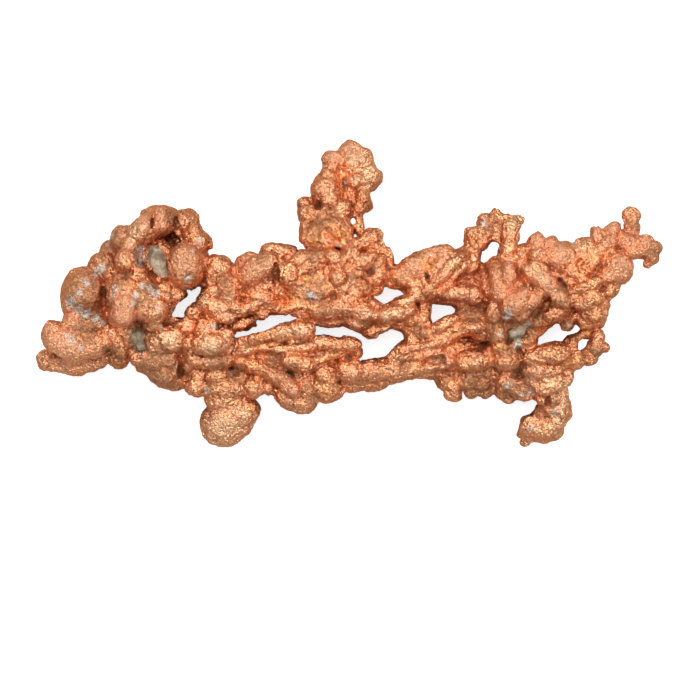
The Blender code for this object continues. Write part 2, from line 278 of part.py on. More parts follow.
WEBS = [
    # low metal that fills the nooks between the lumps, so that only the true windows stay open
    (-25.4, -2.4, 9.6, 1.3, 1.2, 1.8, 0), (-24.1, -1.1, 9.8, 0.8, 0.9, 1.4, 0),
    (-24.2, -4.4, 9.4, 1.1, 0.9, 1.6, 0), (-20.4, 1.2, 9.6, 0.8, 1.3, 1.5, 0),
    (-24.4, -10.3, 8.4, 1.3, 1.8, 2.0, 0), (-22.5, -9.8, 8.6, 1.2, 1.3, 1.8, 0),
    (-29.2, 4.8, 8.0, 1.4, 2.6, 2.2, 0), (-24.8, 1.8, 8.4, 1.2, 1.2, 1.8, 0),
    (-33.8, -8.6, 8.2, 1.2, 1.0, 1.6, 0), (-15.9, 2.4, 8.6, 1.3, 1.4, 2.2, 0),
    (-10.0, -1.9, 8.8, 2.2, 0.8, 1.8, 5), (-14.8, -7.7, 8.4, 1.3, 1.5, 1.8, 0),
    (-15.0, -9.6, 8.2, 1.4, 1.3, 1.8, 0), (-16.9, -7.6, 8.4, 1.0, 2.2, 1.8, 0),
    (-9.7, 4.4, 8.6, 1.0, 1.2, 1.8, 0), (-1.8, -13.6, 8.2, 0.9, 1.0, 1.4, 0),
    (0.6, -12.5, 8.0, 1.8, 1.2, 1.4, 0), (3.4, -12.4, 8.2, 2.3, 1.2, 1.5, 5),
    (6.1, -11.9, 8.2, 2.0, 0.7, 1.4, 5), (11.0, -11.2, 8.2, 3.0, 0.6, 1.4, 0),
    (13.3, -12.1, 8.2, 0.9, 1.3, 1.3, 15), (19.6, -10.9, 8.6, 1.0, 1.1, 1.5, 0),
    (21.7, -11.1, 8.6, 1.1, 1.5, 1.7, 0), (21.6, -13.4, 8.4, 0.9, 1.4, 1.4, 0),
    (3.7, 0.9, 9.0, 1.0, 0.9, 1.4, 0), (3.1, -1.7, 9.2, 1.1, 0.9, 1.5, 0),
    (6.6, 1.6, 9.0, 1.6, 0.8, 1.4, -10), (6.0, -1.9, 8.8, 1.8, 0.6, 1.4, 15),
    (4.8, -2.5, 8.8, 0.9, 0.9, 1.4, 0), (7.2, -4.4, 8.6, 2.0, 0.6, 1.3, -5),
    (8.8, -6.1, 8.6, 0.8, 1.2, 1.4, 0), (7.6, -7.6, 8.6, 1.2, 0.8, 1.3, 30),
    (4.8, -9.7, 8.6, 1.6, 0.6, 1.2, 20), (10.5, -2.4, 8.6, 0.9, 1.6, 1.6, 0),
    (15.8, -3.2, 8.4, 1.6, 0.7, 1.5, 8), (18.0, -3.2, 8.6, 1.7, 1.0, 1.6, 0),
    (19.5, 1.4, 8.4, 1.3, 2.6, 1.8, 0), (19.3, -2.0, 8.2, 1.3, 1.8, 1.6, 0),
    (21.8, 6.0, 9.2, 0.7, 1.3, 1.1, 0), (20.6, 7.9, 8.8, 1.6, 0.6, 0.9, 0),
    (21.5, 4.4, 9.2, 1.2, 0.8, 1.4, 0), (18.2, 3.6, 8.8, 0.9, 0.6, 1.2, 0),
    (24.0, 4.3, 9.0, 1.3, 1.3, 1.8, 0), (32.0, -3.2, 8.8, 1.4, 0.9, 1.6, 0),
    (28.9, -7.5, 9.2, 1.9, 0.6, 1.3, 0), (31.6, -6.8, 8.2, 0.9, 0.6, 1.0, 20),
    (33.6, -7.7, 8.4, 0.6, 0.8, 0.9, 0), (27.3, -16.6, 8.2, 0.9, 1.2, 1.3, 0),
    (25.4, -18.0, 8.4, 1.0, 0.8, 1.2, 0), (25.3, -19.0, 8.4, 1.0, 1.0, 1.2, 0),
    (26.7, -13.8, 8.6, 0.9, 1.2, 1.3, 0), (0.3, 13.6, 8.4, 1.0, 1.6, 1.6, 0),
    (0.2, 6.6, 8.6, 1.2, 0.8, 1.6, 0), (22.3, -10.4, 8.2, 1.6, 1.2, 1.8, 0),
    (-11.3, -13.0, 8.4, 0.9, 1.0, 1.3, 0), (38.0, 7.8, 9.0, 0.9, 1.0, 1.2, 0),
    (36.2, 8.2, 9.0, 0.8, 1.0, 1.1, 0), (16.6, 2.2, 7.8, 2.2, 1.2, 1.8, 0),
    (-19.4, -4.3, 8.0, 2.0, 1.4, 2.0, 0), (-7.0, -6.3, 8.4, 2.4, 1.0, 1.5, 0),
    (17.4, -11.0, 8.2, 1.8, 0.9, 1.5, 0), (15.0, -4.0, 8.0, 1.6, 0.9, 1.5, 0),
    (-15.4, -11.8, 8.2, 1.4, 1.0, 1.6, 0), (-33.6, 5.8, 8.2, 1.2, 1.6, 2.0, 0),
    (-24.3, 1.2, 8.4, 1.3, 1.0, 1.8, 0), (0.2, 10.0, 8.4, 0.5, 1.0, 1.2, 0),
]
BRANCHES = {
    "left_cluster": LEFT_CLUSTER,
    "middle_body": MIDDLE_BODY,
    "upright_arm": UPRIGHT_ARM,
    "lower_lobe": LOWER_LOBE,
    "lower_spear": LOWER_SPEAR,
    "right_beam": RIGHT_BEAM,
    "right_hub": RIGHT_HUB,
    "right_foot": RIGHT_FOOT,
}

# Where each branch lies, seen from above: the borders that two territories share are the forks, and
# elsewhere a border runs through open air, outside the nugget or through one of its windows.
TERRITORIES = {
    "left_cluster": [(-18.6, 6.4), (-20.0, 4.9), (-20.9, 2.6), (-21.4, 0.2), (-23.1, -2.4), (-23.2, -6.0),
                     (-23.3, -10.7), (-23.5, -30.0), (-60.0, -30.0), (-60.0, 30.0), (-16.0, 30.0)],
    "middle_body": [(-18.6, 6.4), (-20.0, 4.9), (-20.9, 2.6), (-21.4, 0.2), (-23.1, -2.4), (-23.2, -6.0),
                    (-23.3, -10.7), (-19.5, -10.9), (-16.3, -10.6), (-16.0, -7.4), (-15.2, -6.1),
                    (-13.4, -4.8), (-9.2, -3.35), (-6.6, -3.6), (-5.2, -4.25), (-3.6, -5.4), (1.2, -5.7),
                    (2.2, -7.0), (4.0, -7.2), (4.8, -6.6), (4.2, -4.6), (4.1, -2.6), (4.6, -0.8),
                    (5.2, 0.3), (5.5, 2.2), (5.9, 3.6), (6.2, 6.8), (7.0, 12.0), (2.3, 9.4), (1.3, 8.55),
                    (0.6, 8.6), (0.4, 7.4), (-0.4, 5.8), (-3.6, 6.3), (-6.6, 6.5), (-8.6, 7.6),
                    (-16.0, 30.0)],
    "upright_arm": [(-8.6, 7.6), (-6.6, 6.5), (-3.6, 6.3), (-0.4, 5.8), (0.4, 7.4), (0.6, 8.6),
                    (1.3, 8.55), (2.3, 9.4), (7.0, 12.0), (12.0, 30.0), (-16.0, 30.0)],
    "lower_lobe": [(-23.3, -10.7), (-19.5, -10.9), (-16.3, -10.6), (-14.6, -11.2), (-12.3, -12.3),
                   (-11.6, -15.6), (-11.6, -30.0), (-23.5, -30.0)],
    "lower_spear": [(-16.3, -10.6), (-16.0, -7.4), (-15.2, -6.1), (-13.4, -4.8), (-9.2, -3.35),
                    (-6.6, -3.6), (-5.2, -4.25), (-3.6, -5.4), (1.2, -5.7), (2.2, -7.0), (3.0, -8.3),
                    (1.4, -9.1), (-1.6, -9.3), (-1.9, -11.0), (-1.2, -12.6), (-1.0, -30.0),
                    (-11.6, -30.0), (-11.6, -15.6), (-12.3, -12.3), (-14.6, -11.2)],
    "right_beam": [(7.0, 12.0), (6.2, 6.8), (5.9, 3.6), (5.5, 2.2), (5.2, 0.3), (4.6, -0.8), (4.1, -2.6),
                   (4.2, -4.6), (4.8, -6.6), (4.0, -7.2), (2.2, -7.0), (3.0, -8.3), (1.4, -9.1),
                   (-1.6, -9.3), (-1.9, -11.0), (-1.2, -12.6), (-1.0, -30.0), (20.6, -30.0),
                   (20.6, -15.8), (20.9, -11.4), (20.1, -9.8), (19.5, -6.6), (19.4, -2.0), (19.2, 2.6),
                   (19.4, 5.0), (17.3, 4.3), (15.9, 4.9), (14.6, 7.4), (12.0, 12.0)],
    "right_hub": [(12.0, 12.0), (14.6, 7.4), (15.9, 4.9), (17.3, 4.3), (19.4, 5.0), (19.2, 2.6),
                  (19.4, -2.0), (19.5, -6.6), (20.1, -9.8), (20.9, -11.4), (20.6, -15.8), (20.6, -17.0),
                  (22.0, -17.0), (26.4, -15.4), (25.3, -12.8), (23.9, -10.6), (24.0, -8.4), (25.6, -7.2),
                  (27.0, -6.2), (29.4, -5.9), (31.4, -5.25), (33.4, -5.05), (36.8, -4.9), (60.0, -4.9),
                  (60.0, 30.0), (12.0, 30.0)],
    "right_foot": [(60.0, -4.9), (36.8, -4.9), (33.4, -5.05), (31.4, -5.25), (29.4, -5.9), (27.0, -6.2),
                   (25.6, -7.2), (24.0, -8.4), (23.9, -10.6), (25.3, -12.8), (26.4, -15.4),
                   (22.0, -17.0), (20.6, -17.0), (20.6, -30.0), (60.0, -30.0)],
}

# Lumps of the back that only the table sees. The nugget rests on the flats worn on the first five.
BACK_LUMPS = [
    (-30.0, 1.0, 3.4, 4.6, 4.0, 4.0, 20), (27.0, 2.2, 3.2, 4.4, 3.2, 3.8, 15),
    (-17.6, -17.8, 2.7, 2.7, 2.7, 3.3, 10), (27.8, -18.0, 2.3, 2.3, 2.0, 2.9, 10),
    (0.1, 18.2, 2.3, 2.1, 2.4, 2.9, 0), (28.2, -11.8, 4.4, 2.5, 2.8, 2.4, 0),
    (-2.6, 12.0, 4.8, 2.1, 3.0, 2.2, 0),
    (-37.0, -4.0, 4.6, 2.6, 3.0, 2.2, 0), (-24.0, 6.0, 4.4, 2.6, 3.0, 2.6, 0),
    (-20.0, -7.0, 4.6, 2.6, 2.6, 2.2, 0), (-12.0, 1.0, 4.8, 3.2, 2.4, 2.0, 15),
    (-4.0, 0.8, 4.4, 3.6, 2.8, 2.2, -10), (1.2, 0.6, 4.8, 2.2, 3.4, 2.0, 0),
    (-7.4, -9.4, 5.4, 3.4, 1.8, 1.6, -15), (-5.6, -13.2, 5.6, 2.6, 1.8, 1.6, 0),
    (13.6, -8.6, 5.0, 4.2, 2.0, 2.0, 10), (10.8, 3.2, 5.4, 3.0, 1.6, 1.6, 35),
    (22.8, -3.0, 4.4, 2.8, 3.6, 2.4, 0), (35.6, 2.6, 5.2, 2.4, 2.4, 2.0, 0),
    (22.6, -9.4, 5.2, 2.0, 2.2, 1.8, 0), (-3.6, 8.4, 5.6, 2.4, 2.2, 1.8, 0),
    (-31.6, -6.6, 5.2, 2.6, 2.0, 1.8, 0), (33.6, -2.0, 5.4, 1.8, 2.4, 1.6, 0),
]

# Grains of country rock: the lumps they are made of, and their colour.
GRAINS = {
    "pale_grain": ([(-26.7, 5.0, 10.6, 1.25, 1.35, 1.5, 0), (-26.2, 3.0, 10.5, 0.95, 1.5, 1.4, -15)],
                   PALE_ROCK_COLOUR),
    "dark_grain": ([(-29.7, -5.9, 10.9, 1.35, 1.1, 1.3, 30), (-29.1, -7.3, 10.5, 1.15, 0.9, 1.2, 0)],
                   DARK_ROCK_COLOUR),
    "hub_grain": ([(23.5, -5.4, 10.6, 1.25, 1.15, 1.5, 20), (23.7, -6.4, 10.2, 0.9, 0.6, 1.2, 0)],
                  PALE_ROCK_COLOUR),
}
HOLLOWS = [
    # dug into the skin before it hardens: the ring's hollow and the crevices between the lumps
    (-26.8, 4.6, 13.6, 1.35, 2.1, 3.4, 0), (-25.5, 7.75, 12.8, 0.9, 0.8, 2.4, 0),
    (-34.2, -0.9, 13.4, 0.45, 2.1, 3.4, 0), (-29.5, -6.3, 13.2, 1.4, 1.6, 1.8, -20),
    (-23.6, -10.8, 10.4, 0.4, 1.5, 2.4, 0), (-10.2, 2.4, 12.4, 0.5, 2.0, 1.9, 0),
    (-15.9, -11.0, 10.6, 0.9, 0.6, 1.6, 0), (-4.3, 12.4, 12.2, 0.6, 0.7, 2.2, 0),
    (18.3, -7.4, 12.0, 1.1, 0.7, 2.2, 0), (11.9, -9.3, 12.0, 1.9, 0.6, 1.5, 5),
    (17.0, 2.5, 11.6, 1.5, 0.5, 1.8, 20), (25.9, -2.9, 13.4, 1.9, 0.5, 2.2, 50),
    (24.0, 2.4, 13.2, 0.5, 0.9, 1.8, 20), (-8.4, -11.2, 11.6, 3.4, 0.45, 1.2, -38),
    (24.2, -8.1, 11.2, 0.7, 0.6, 1.4, 0), (10.9, 2.2, 12.0, 0.35, 1.0, 1.8, 20),
    (27.9, -15.5, 11.2, 0.4, 1.3, 1.4, 0), (-31.3, 2.6, 15.2, 1.6, 0.4, 1.4, 20),
    # the least of the windows, inside the small fork
    (32.8, -7.1, 8.2, 0.45, 1.0, 6.0, -35),
]


def clear_scene():
    for thing in list(bpy.data.objects):
        bpy.data.objects.remove(thing, do_unlink=True)


def make_material(name, colour, metal, roughness):
    material = bpy.data.materials.new(name)
    material.use_nodes = True
    shader = material.node_tree.nodes["Principled BSDF"]
    shader.inputs["Base Color"].default_value = colour
    shader.inputs["Metallic"].default_value = metal
    shader.inputs["Roughness"].default_value = roughness
    return material


def mirrored(lump, chance):
    """The lump that answers this one on the back, a little smaller and moved aside."""
    x, y, z, half_length, half_width, half_height, heading = lump
    aside = [chance.uniform(-0.3, 0.3) for _ in range(2)]
    size = [part * BACK_SHRINK * chance.uniform(0.85, 1.0) for part in (half_length, half_width)]
    back_height = half_height * chance.uniform(0.8, 1.15)
    depth = MIDDLE - (z - MIDDLE) * chance.uniform(0.55, 0.85)
    return (x + aside[0], y + aside[1], depth, size[0], size[1], back_height,
            heading + chance.uniform(-25.0, 25.0))


def drooped(lumps):
    """The same lumps, let down towards the table the farther they are from the nugget's spine."""
    return [(x, y, z - DROOP * y * y, *rest) for x, y, z, *rest in lumps]


class Lattice:
    """The points, in millimetres, on which a shape's distance from its surface is worked out."""

    def __init__(self, low, high, step):
        self.step = step
        counts = [int(math.ceil((top - bottom) / step)) + 1 for bottom, top in zip(low, high)]
        self.axes = [bottom + step * np.arange(count) for bottom, count in zip(low, counts)]
        self.shape = tuple(counts)

    def window(self, centre, reach):
        """The slices of the lattice within this reach of the centre."""
        cuts = []
        for axis, middle, count in zip(self.axes, centre, self.shape):
            first = int(np.searchsorted(axis, middle - reach))
            last = int(np.searchsorted(axis, middle + reach))
            cuts.append(slice(max(first, 0), min(last, count)))
        return tuple(cuts)


def lump_distance(lattice, cuts, lump, grow):
    """How far each point of a window lies outside the lump; less than nought inside."""
    x, y, z, half_length, half_width, half_height, heading = lump
    turn = math.radians(heading)
    east, north, up = (axis[cut] for axis, cut in zip(lattice.axes, cuts))
    east, north, up = np.meshgrid(east - x, north - y, up - z, indexing="ij")
    along = (east * math.cos(turn) + north * math.sin(turn)) / (half_length + grow)
    across = (north * math.cos(turn) - east * math.sin(turn)) / (half_width + grow)
    rise = up / (half_height + grow)
    ratio = np.sqrt(along ** 2 + across ** 2 + rise ** 2)
    slope = np.sqrt((along / (half_length + grow)) ** 2 + (across / (half_width + grow)) ** 2
                    + (rise / (half_height + grow)) ** 2)
    return ratio * (ratio - 1.0) / np.maximum(slope, 1e-6)


def crowd_distance(lattice, lumps, grow=0.0):
    """The distance from the skin of all the lumps melted together."""
    total = np.full(lattice.shape, math.exp(-6.0 / MELT))
    for lump in lumps:
        cuts = lattice.window(lump[:3], max(lump[3:6]) + grow + 2.5)
        total[cuts] += np.exp(np.clip(-lump_distance(lattice, cuts, lump, grow) / MELT, -60.0, 60.0))
    return -MELT * np.log(total)


def roughness(point):
    """The slow unevenness and the creased crust, which fades on the smooth worn lumps."""
    slow = WARP_REACH * noise.noise(point / WARP_WAVE)
    creases = noise.turbulence(point / CRUST_WAVE, 3, True)
    wear = 0.5 + 0.5 * noise.noise(point / 7.0 + Vector((3.1, 0.7, 5.2)))
    return slow + CRUST_DEPTH * (creases - 0.55) * min(1.0, 0.35 + wear)


def roughen(lattice, distance):
    """Add the roughness to the distance, at the points near the skin."""
    for spot in np.argwhere(np.abs(distance) < 1.2):
        point = Vector([axis[index] for axis, index in zip(lattice.axes, spot)])
        distance[tuple(spot)] -= roughness(point)


def territory_distance(lattice, border):
    """How far each column of the lattice lies outside the territory, seen from above."""
    east, north = np.meshgrid(lattice.axes[0], lattice.axes[1], indexing="ij")
    nearest = np.full(east.shape, 1e9)
    inside = np.zeros(east.shape, dtype=bool)
    for (x0, y0), (x1, y1) in zip(border, border[1:] + border[:1]):
        run_x, run_y = x1 - x0, y1 - y0
        share = ((east - x0) * run_x + (north - y0) * run_y) / (run_x ** 2 + run_y ** 2)
        share = np.clip(share, 0.0, 1.0)
        nearest = np.minimum(nearest, np.hypot(east - x0 - share * run_x, north - y0 - share * run_y))
        spans = (y0 > north) != (y1 > north)
        crossing = x0 + (north - y0) * run_x / (run_y if run_y else 1e-9)
        inside ^= spans & (east < crossing)
    return np.where(inside, -nearest, nearest)[:, :, None]


def tetrahedra():
    """The six tetrahedra of a cell, as corner steps, each with whether it is right-handed."""
    for order in itertools.permutations(range(3)):
        corners = [np.zeros(3, dtype=int)]
        for axis in order:
            corners.append(corners[-1] + np.eye(3, dtype=int)[axis])
        edges = np.array([corner - corners[0] for corner in corners[1:]])
        yield corners, np.linalg.det(edges) > 0


def corner_cases():
    """Which tetrahedron edges a skin triangle crosses, for every set of corners inside."""
    for a, b, c, d in ((0, 1, 2, 3), (1, 0, 3, 2), (2, 0, 1, 3), (3, 0, 2, 1)):
        yield {a}, [((a, b), (a, c), (a, d))]
        yield {b, c, d}, [((a, b), (a, d), (a, c))]
    for a, b, c, d in ((0, 1, 2, 3), (0, 2, 3, 1), (0, 3, 1, 2), (1, 2, 0, 3), (1, 3, 2, 0), (2, 3, 0, 1)):
        yield {a, b}, [((a, c), (a, d), (b, d)), ((a, c), (b, d), (b, c))]


def skin_triangles(distance):
    """Triangles of the skin, each corner given as the two lattice points that it lies between."""
    size = distance.shape
    cells = [slice(0, count - 1) for count in size]
    number = np.arange(distance.size).reshape(size)
    found = []
    for corners, right_handed in tetrahedra():
        shifted = [tuple(slice(step, count - 1 + step) for step, count in zip(corner, size))
                   for corner in corners]
        inside = [distance[cut] < 0.0 for cut in shifted]
        numbers = [number[cut] for cut in shifted]
        for wanted, triangles in corner_cases():
            match = np.ones(inside[0].shape, dtype=bool)
            for index in range(4):
                match &= inside[index] == (index in wanted)
            for triangle in triangles:
                ends = [np.stack([numbers[first][match], numbers[last][match]], axis=1)
                        for first, last in triangle]
                if not right_handed:
                    ends.reverse()
                found.append(np.stack(ends, axis=1))
    return np.concatenate(found)


def draw_skin(name, lattice, distance):
    """A closed mesh where the distance is nought."""
    triangles = skin_triangles(distance)
    pairs = np.sort(triangles.reshape(-1, 2), axis=1)
    codes, places = np.unique(pairs[:, 0] * distance.size + pairs[:, 1], return_inverse=True)
    ends = np.stack([codes // distance.size, codes % distance.size], axis=1)
    depth = distance.reshape(-1)[ends]
    share = np.clip(depth[:, 0] / (depth[:, 0] - depth[:, 1]), 0.02, 0.98)[:, None]
    spots = np.stack(np.unravel_index(ends, distance.shape), axis=-1)
    low = np.array([axis[0] for axis in lattice.axes])
    points = low + lattice.step * (spots[:, 0] * (1.0 - share) + spots[:, 1] * share)
    mesh = bpy.data.meshes.new(name)
    mesh.from_pydata((points * MM).tolist(), [], places.reshape(-1, 3).tolist())
    return mesh


def run_modifier(thing, kind, **settings):
    """Apply one modifier to the object, and keep the mesh that comes of it."""
    step = thing.modifiers.new(kind.title(), kind)
    for key, value in settings.items():
        setattr(step, key, value)
    graph = bpy.context.evaluated_depsgraph_get()
    finished = bpy.data.meshes.new_from_object(thing.evaluated_get(graph))
    thing.modifiers.remove(step)
    old = thing.data
    thing.data = finished
    bpy.data.meshes.remove(old)


def face_bodies(shape):
    """The mesh's separate bodies, each as a list of faces, the largest last."""
    left = dict.fromkeys(shape.faces)
    bodies = []
    while left:
        queue = [left.popitem()[0]]
        body = []
        while queue:
            face = queue.pop()
            body.append(face)
            for edge in face.edges:
                for other in edge.link_faces:
                    if other in left:
                        del left[other]
                        queue.append(other)
        bodies.append(body)
    return sorted(bodies, key=len)


def keep_largest_body(thing):
    shape = bmesh.new()
    shape.from_mesh(thing.data)
    spare = dict.fromkeys(vertex for body in face_bodies(shape)[:-1] for face in body
                          for vertex in face.verts)
    bmesh.ops.delete(shape, geom=list(spare), context="VERTS")
    bmesh.ops.triangulate(shape, faces=shape.faces)
    shape.to_mesh(thing.data)
    shape.free()


def make_solid(name, lattice, distance, colour, metal, roughness_value, group):
    """The one closed solid that the distance describes, smoothed a little."""
    thing = bpy.data.objects.new(name, draw_skin(name, lattice, distance))
    group.objects.link(thing)
    keep_largest_body(thing)
    run_modifier(thing, "SMOOTH", factor=0.5, iterations=1)
    thing.data.materials.clear()
    thing.data.materials.append(make_material(name, colour, metal, roughness_value))
    return thing


def make_grain(name, group):
    lumps, colour = drooped(GRAINS[name][0]), GRAINS[name][1]
    middle = lumps[0][:3]
    lattice = Lattice([part - 4.0 for part in middle], [part + 4.0 for part in middle], GRAIN_LATTICE)
    distance = crowd_distance(lattice, lumps)
    for spot in np.argwhere(np.abs(distance) < 0.8):
        point = Vector([axis[index] for axis, index in zip(lattice.axes, spot)])
        distance[tuple(spot)] += 0.05 - 0.16 * noise.noise(point / 0.9)
    return make_solid(name, lattice, distance, colour, 0.0, 0.85, group)


def thin_out(things, total):
    """Thin the meshes, all in the same measure, to this many triangles in all."""
    triangles = sum(len(thing.data.polygons) for thing in things)
    for thing in things:
        run_modifier(thing, "DECIMATE", decimate_type="COLLAPSE", ratio=total / triangles)
        keep_largest_body(thing)


def metal_distance(lattice):
    """The distance from the skin of all the metal, before it is parted."""
    chance = random.Random(BACK_SEED)
    front = [lump for lumps in BRANCHES.values() for lump in lumps]
    back = [mirrored(lump, chance) for lump in front if lump[2] > MIDDLE]
    distance = crowd_distance(lattice, drooped(front + WEBS + back) + BACK_LUMPS, SWELL)
    distance = np.maximum(distance, -crowd_distance(lattice, drooped(HOLLOWS)))
    roughen(lattice, distance)
    for lumps, _ in GRAINS.values():
        distance = np.maximum(distance, GAP - crowd_distance(lattice, drooped(lumps)))
    return np.maximum(distance, -lattice.axes[2][None, None, :])


def wear_flats(things):
    """Bring every corner that all but touches the table down on to it."""
    for thing in things:
        for vertex in thing.data.vertices:
            if vertex.co.z < FLAT_REACH * MM:
                vertex.co.z = 0.0


def settle(group):
    """Bring the nugget to its measured length and width, with the origin under its middle."""
    corners = np.array([vertex.co for thing in group.objects for vertex in thing.data.vertices])
    low, high = corners.min(axis=0), corners.max(axis=0)
    middle = (low + high) / 2
    shift = Matrix.Translation((-middle[0], -middle[1], -low[2]))
    stretch = Matrix.Diagonal((LENGTH * MM / (high[0] - low[0]), WIDTH * MM / (high[1] - low[1]), 1.0, 1.0))
    for thing in group.objects:
        thing.data.transform(stretch @ shift)


def build():
    clear_scene()
    nugget = bpy.data.collections.new("native_copper_nugget")
    bpy.context.scene.collection.children.link(nugget)
    lattice = Lattice((-46.0, -24.0, -2.5 * LATTICE), (46.0, 24.0, 19.0), LATTICE)
    metal = metal_distance(lattice)
    branches = []
    for name, border in TERRITORIES.items():
        distance = np.maximum(metal, territory_distance(lattice, border) + GAP / 2)
        branches.append(make_solid(name, lattice, distance, COPPER_COLOUR, 1.0, 0.35, nugget))
    thin_out(branches, SKIN_TRIANGLES)
    wear_flats(branches)
    grains = [make_grain(name, nugget) for name in GRAINS]
    thin_out(grains, GRAIN_TRIANGLES)
    settle(nugget)


build()
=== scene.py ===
"""A native copper nugget, 88 mm long: a flat, branching piece of metal with grains of rock caught in it.

The metal is modelled in millimetres as one skin over a crowd of lumps, given its crinkled crust,
brought into the box of the solids and parted at its forks, so that each branch is a piece of its own.
"""
import json
import math
import random

import bpy
import numpy as np
from bpy.props import FloatProperty, FloatVectorProperty, PointerProperty
from bpy.types import Operator, Panel, PropertyGroup
from mathutils import Euler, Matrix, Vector

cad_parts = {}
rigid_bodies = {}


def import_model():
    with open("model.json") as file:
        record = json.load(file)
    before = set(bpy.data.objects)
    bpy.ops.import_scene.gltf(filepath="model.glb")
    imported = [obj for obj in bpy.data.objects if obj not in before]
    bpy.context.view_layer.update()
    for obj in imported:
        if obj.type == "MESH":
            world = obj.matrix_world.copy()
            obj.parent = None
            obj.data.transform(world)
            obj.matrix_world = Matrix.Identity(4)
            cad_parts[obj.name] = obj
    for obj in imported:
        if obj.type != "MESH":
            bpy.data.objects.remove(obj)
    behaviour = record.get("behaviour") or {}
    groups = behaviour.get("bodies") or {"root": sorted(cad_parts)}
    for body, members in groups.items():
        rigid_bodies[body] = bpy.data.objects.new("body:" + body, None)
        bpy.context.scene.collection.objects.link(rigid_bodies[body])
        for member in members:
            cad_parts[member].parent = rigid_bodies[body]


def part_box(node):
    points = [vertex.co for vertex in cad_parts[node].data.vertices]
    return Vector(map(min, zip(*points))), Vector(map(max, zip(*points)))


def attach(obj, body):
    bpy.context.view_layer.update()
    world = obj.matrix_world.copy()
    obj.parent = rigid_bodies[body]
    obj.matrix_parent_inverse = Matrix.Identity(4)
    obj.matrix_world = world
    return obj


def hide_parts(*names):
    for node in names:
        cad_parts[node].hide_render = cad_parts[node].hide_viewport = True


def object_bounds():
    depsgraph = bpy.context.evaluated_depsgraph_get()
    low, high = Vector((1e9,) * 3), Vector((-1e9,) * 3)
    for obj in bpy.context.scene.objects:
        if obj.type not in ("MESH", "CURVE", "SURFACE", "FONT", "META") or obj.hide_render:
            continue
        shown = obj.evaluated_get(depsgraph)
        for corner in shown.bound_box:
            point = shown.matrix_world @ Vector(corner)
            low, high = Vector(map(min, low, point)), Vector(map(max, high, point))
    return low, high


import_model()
SOLID_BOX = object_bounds()

bl_info = {
    "name": "Native copper nugget",
    "version": (1, 0, 0),
    "blender": (4, 5, 0),
    "location": "3D View > Sidebar > Nugget",
    "description": "Builds a branching nugget of native copper with grains of rock caught in it",
    "category": "Object",
}

# ---- the form, in millimetres ----

MM = 0.001
MIDDLE = 8.3  # height of the nugget's middle plane above the table
DROOP = 0.0135  # how far the branches bend down towards the table: this times y squared
SWELL = 0.24  # added to every lump
HOLLOW_SWELL = 0.06  # added to every hollow
STIFFNESS = 9.0  # how firmly a lump keeps its own shape where it melts into the next
THRESHOLD = 0.1  # the strength at which the skin over the melted lumps is drawn
FIRST_STEP = 0.3  # spacing of that skin, before it is drawn again more finely
HOLLOW_STEP = 0.25
FEET_HEIGHT = 0.02  # the feet are cut off level here
PALE_GRAIN_SHARE = 1.18  # the pale grain is this much wider than its solid, so that it shows

# The back answers the front lump by lump. Each pair is the least and the most of a share.
BACK_SEED = 11
BACK_SHRINK = 0.93  # keeps the back's lumps inside the outline of the front's
BACK_SHIFT = 0.3
BACK_TURN = 25.0  # degrees
BACK_WIDTH = (0.85, 1.0)
BACK_HEIGHT = (0.8, 1.15)
BACK_DEPTH = (0.55, 0.85)

# The crust's waves: kind, length of a wave, reach, and whether worn places have less of it.
CRUST_WAVES = [
    ("CLOUDS", 2.8, 0.42, False), ("VORONOI", 1.4, -0.24, True), ("RIDGES", 1.2, 0.18, True),
    ("CLOUDS", 0.75, 0.18, True), ("VORONOI", 0.6, -0.12, True), ("CLOUDS", 0.45, 0.08, False),
]
WORN_EASE = 0.4  # how much of the crust is lost where the metal is worn
WORN_SOFTNESS = 0.35  # how gently that loss ends at the edge of a worn place
GRAIN_CHIPS = 0.9  # width of the chips on a grain of rock
GRAIN_CHIP_DEPTH = 0.3

VOTING_ROUNDS = 12  # how often the faces along a fork look at their neighbours
OWN_VOTE = 0.5  # a face's own say, where each neighbour's is 1

# Marks on the surface: tarnish and rock flour, and painted light and shade.
BACK_TOP = 6.0  # nothing is marked below this height
MARK_FADE = 2.0  # a mark fades in over this much above it
FLECK_BOTTOM = 8.5  # the flecks keep to the upper side
BROAD_ROUNDS = 60  # rounds of smoothing that a hollow is measured from
CREASE_ROUNDS = 6  # rounds of smoothing that a crease is measured from
HOLLOW_DEPTH = 0.5  # a point this far down has the full painted shade
CREVICE_DEPTH = 0.3
CREASE_DEPTH = 0.06
CREVICE_SOFTNESS = 0.7

# ---- finishes, painted light and painted shade, as red, green and blue ----

# worn metal, paler, and painted highlight on the lumps' lit tops
WORN_AND_LIT_COPPER = (0.90, 0.44, 0.26)
# painted highlight: brighter copper
LIT_TOP_COPPER = (1.0, 0.60, 0.36)
# painted highlight: golden glints
GILT_GLINT = (0.95, 0.41, 0.09)
# painted shade: near-black brown in the crevices between the lumps
CREVICE_SHADE = (0.10, 0.04, 0.02)
TARNISH_RIM = (0.44, 0.165, 0.075)
DARK_FLOUR = (0.14, 0.13, 0.11)
GLANCING_COPPER = (0.72, 0.42, 0.30)
PALE_ROCK = {"light": (0.50, 0.42, 0.32), "dark": (0.20, 0.155, 0.095), "specks": (0.24, 0.15, 0.08)}
DARK_ROCK = {"light": (0.40, 0.29, 0.18), "dark": (0.10, 0.075, 0.045), "specks": (0.42, 0.42, 0.38)}

# The surface's marks that the copper reads, and the grain and edge of those that are ragged.
MARKS = ("hollow", "crease", "tarnish", "glow", "worn", "fresh", "gilt", "fleck", "crevice")
RAGGED_MARKS = {"gilt": (2.4, 0.5), "tarnish": (1.6, 0.6), "fleck": (3.4, 0.18)}
RELIEF = {"ridges": 1.3, "beads": 0.6, "facets": 1.6, "grit": 0.8}  # heights, as shares of the bump's
BUMP_HEIGHT = 0.2 * MM

# ---- the stage, in metres and watts ----

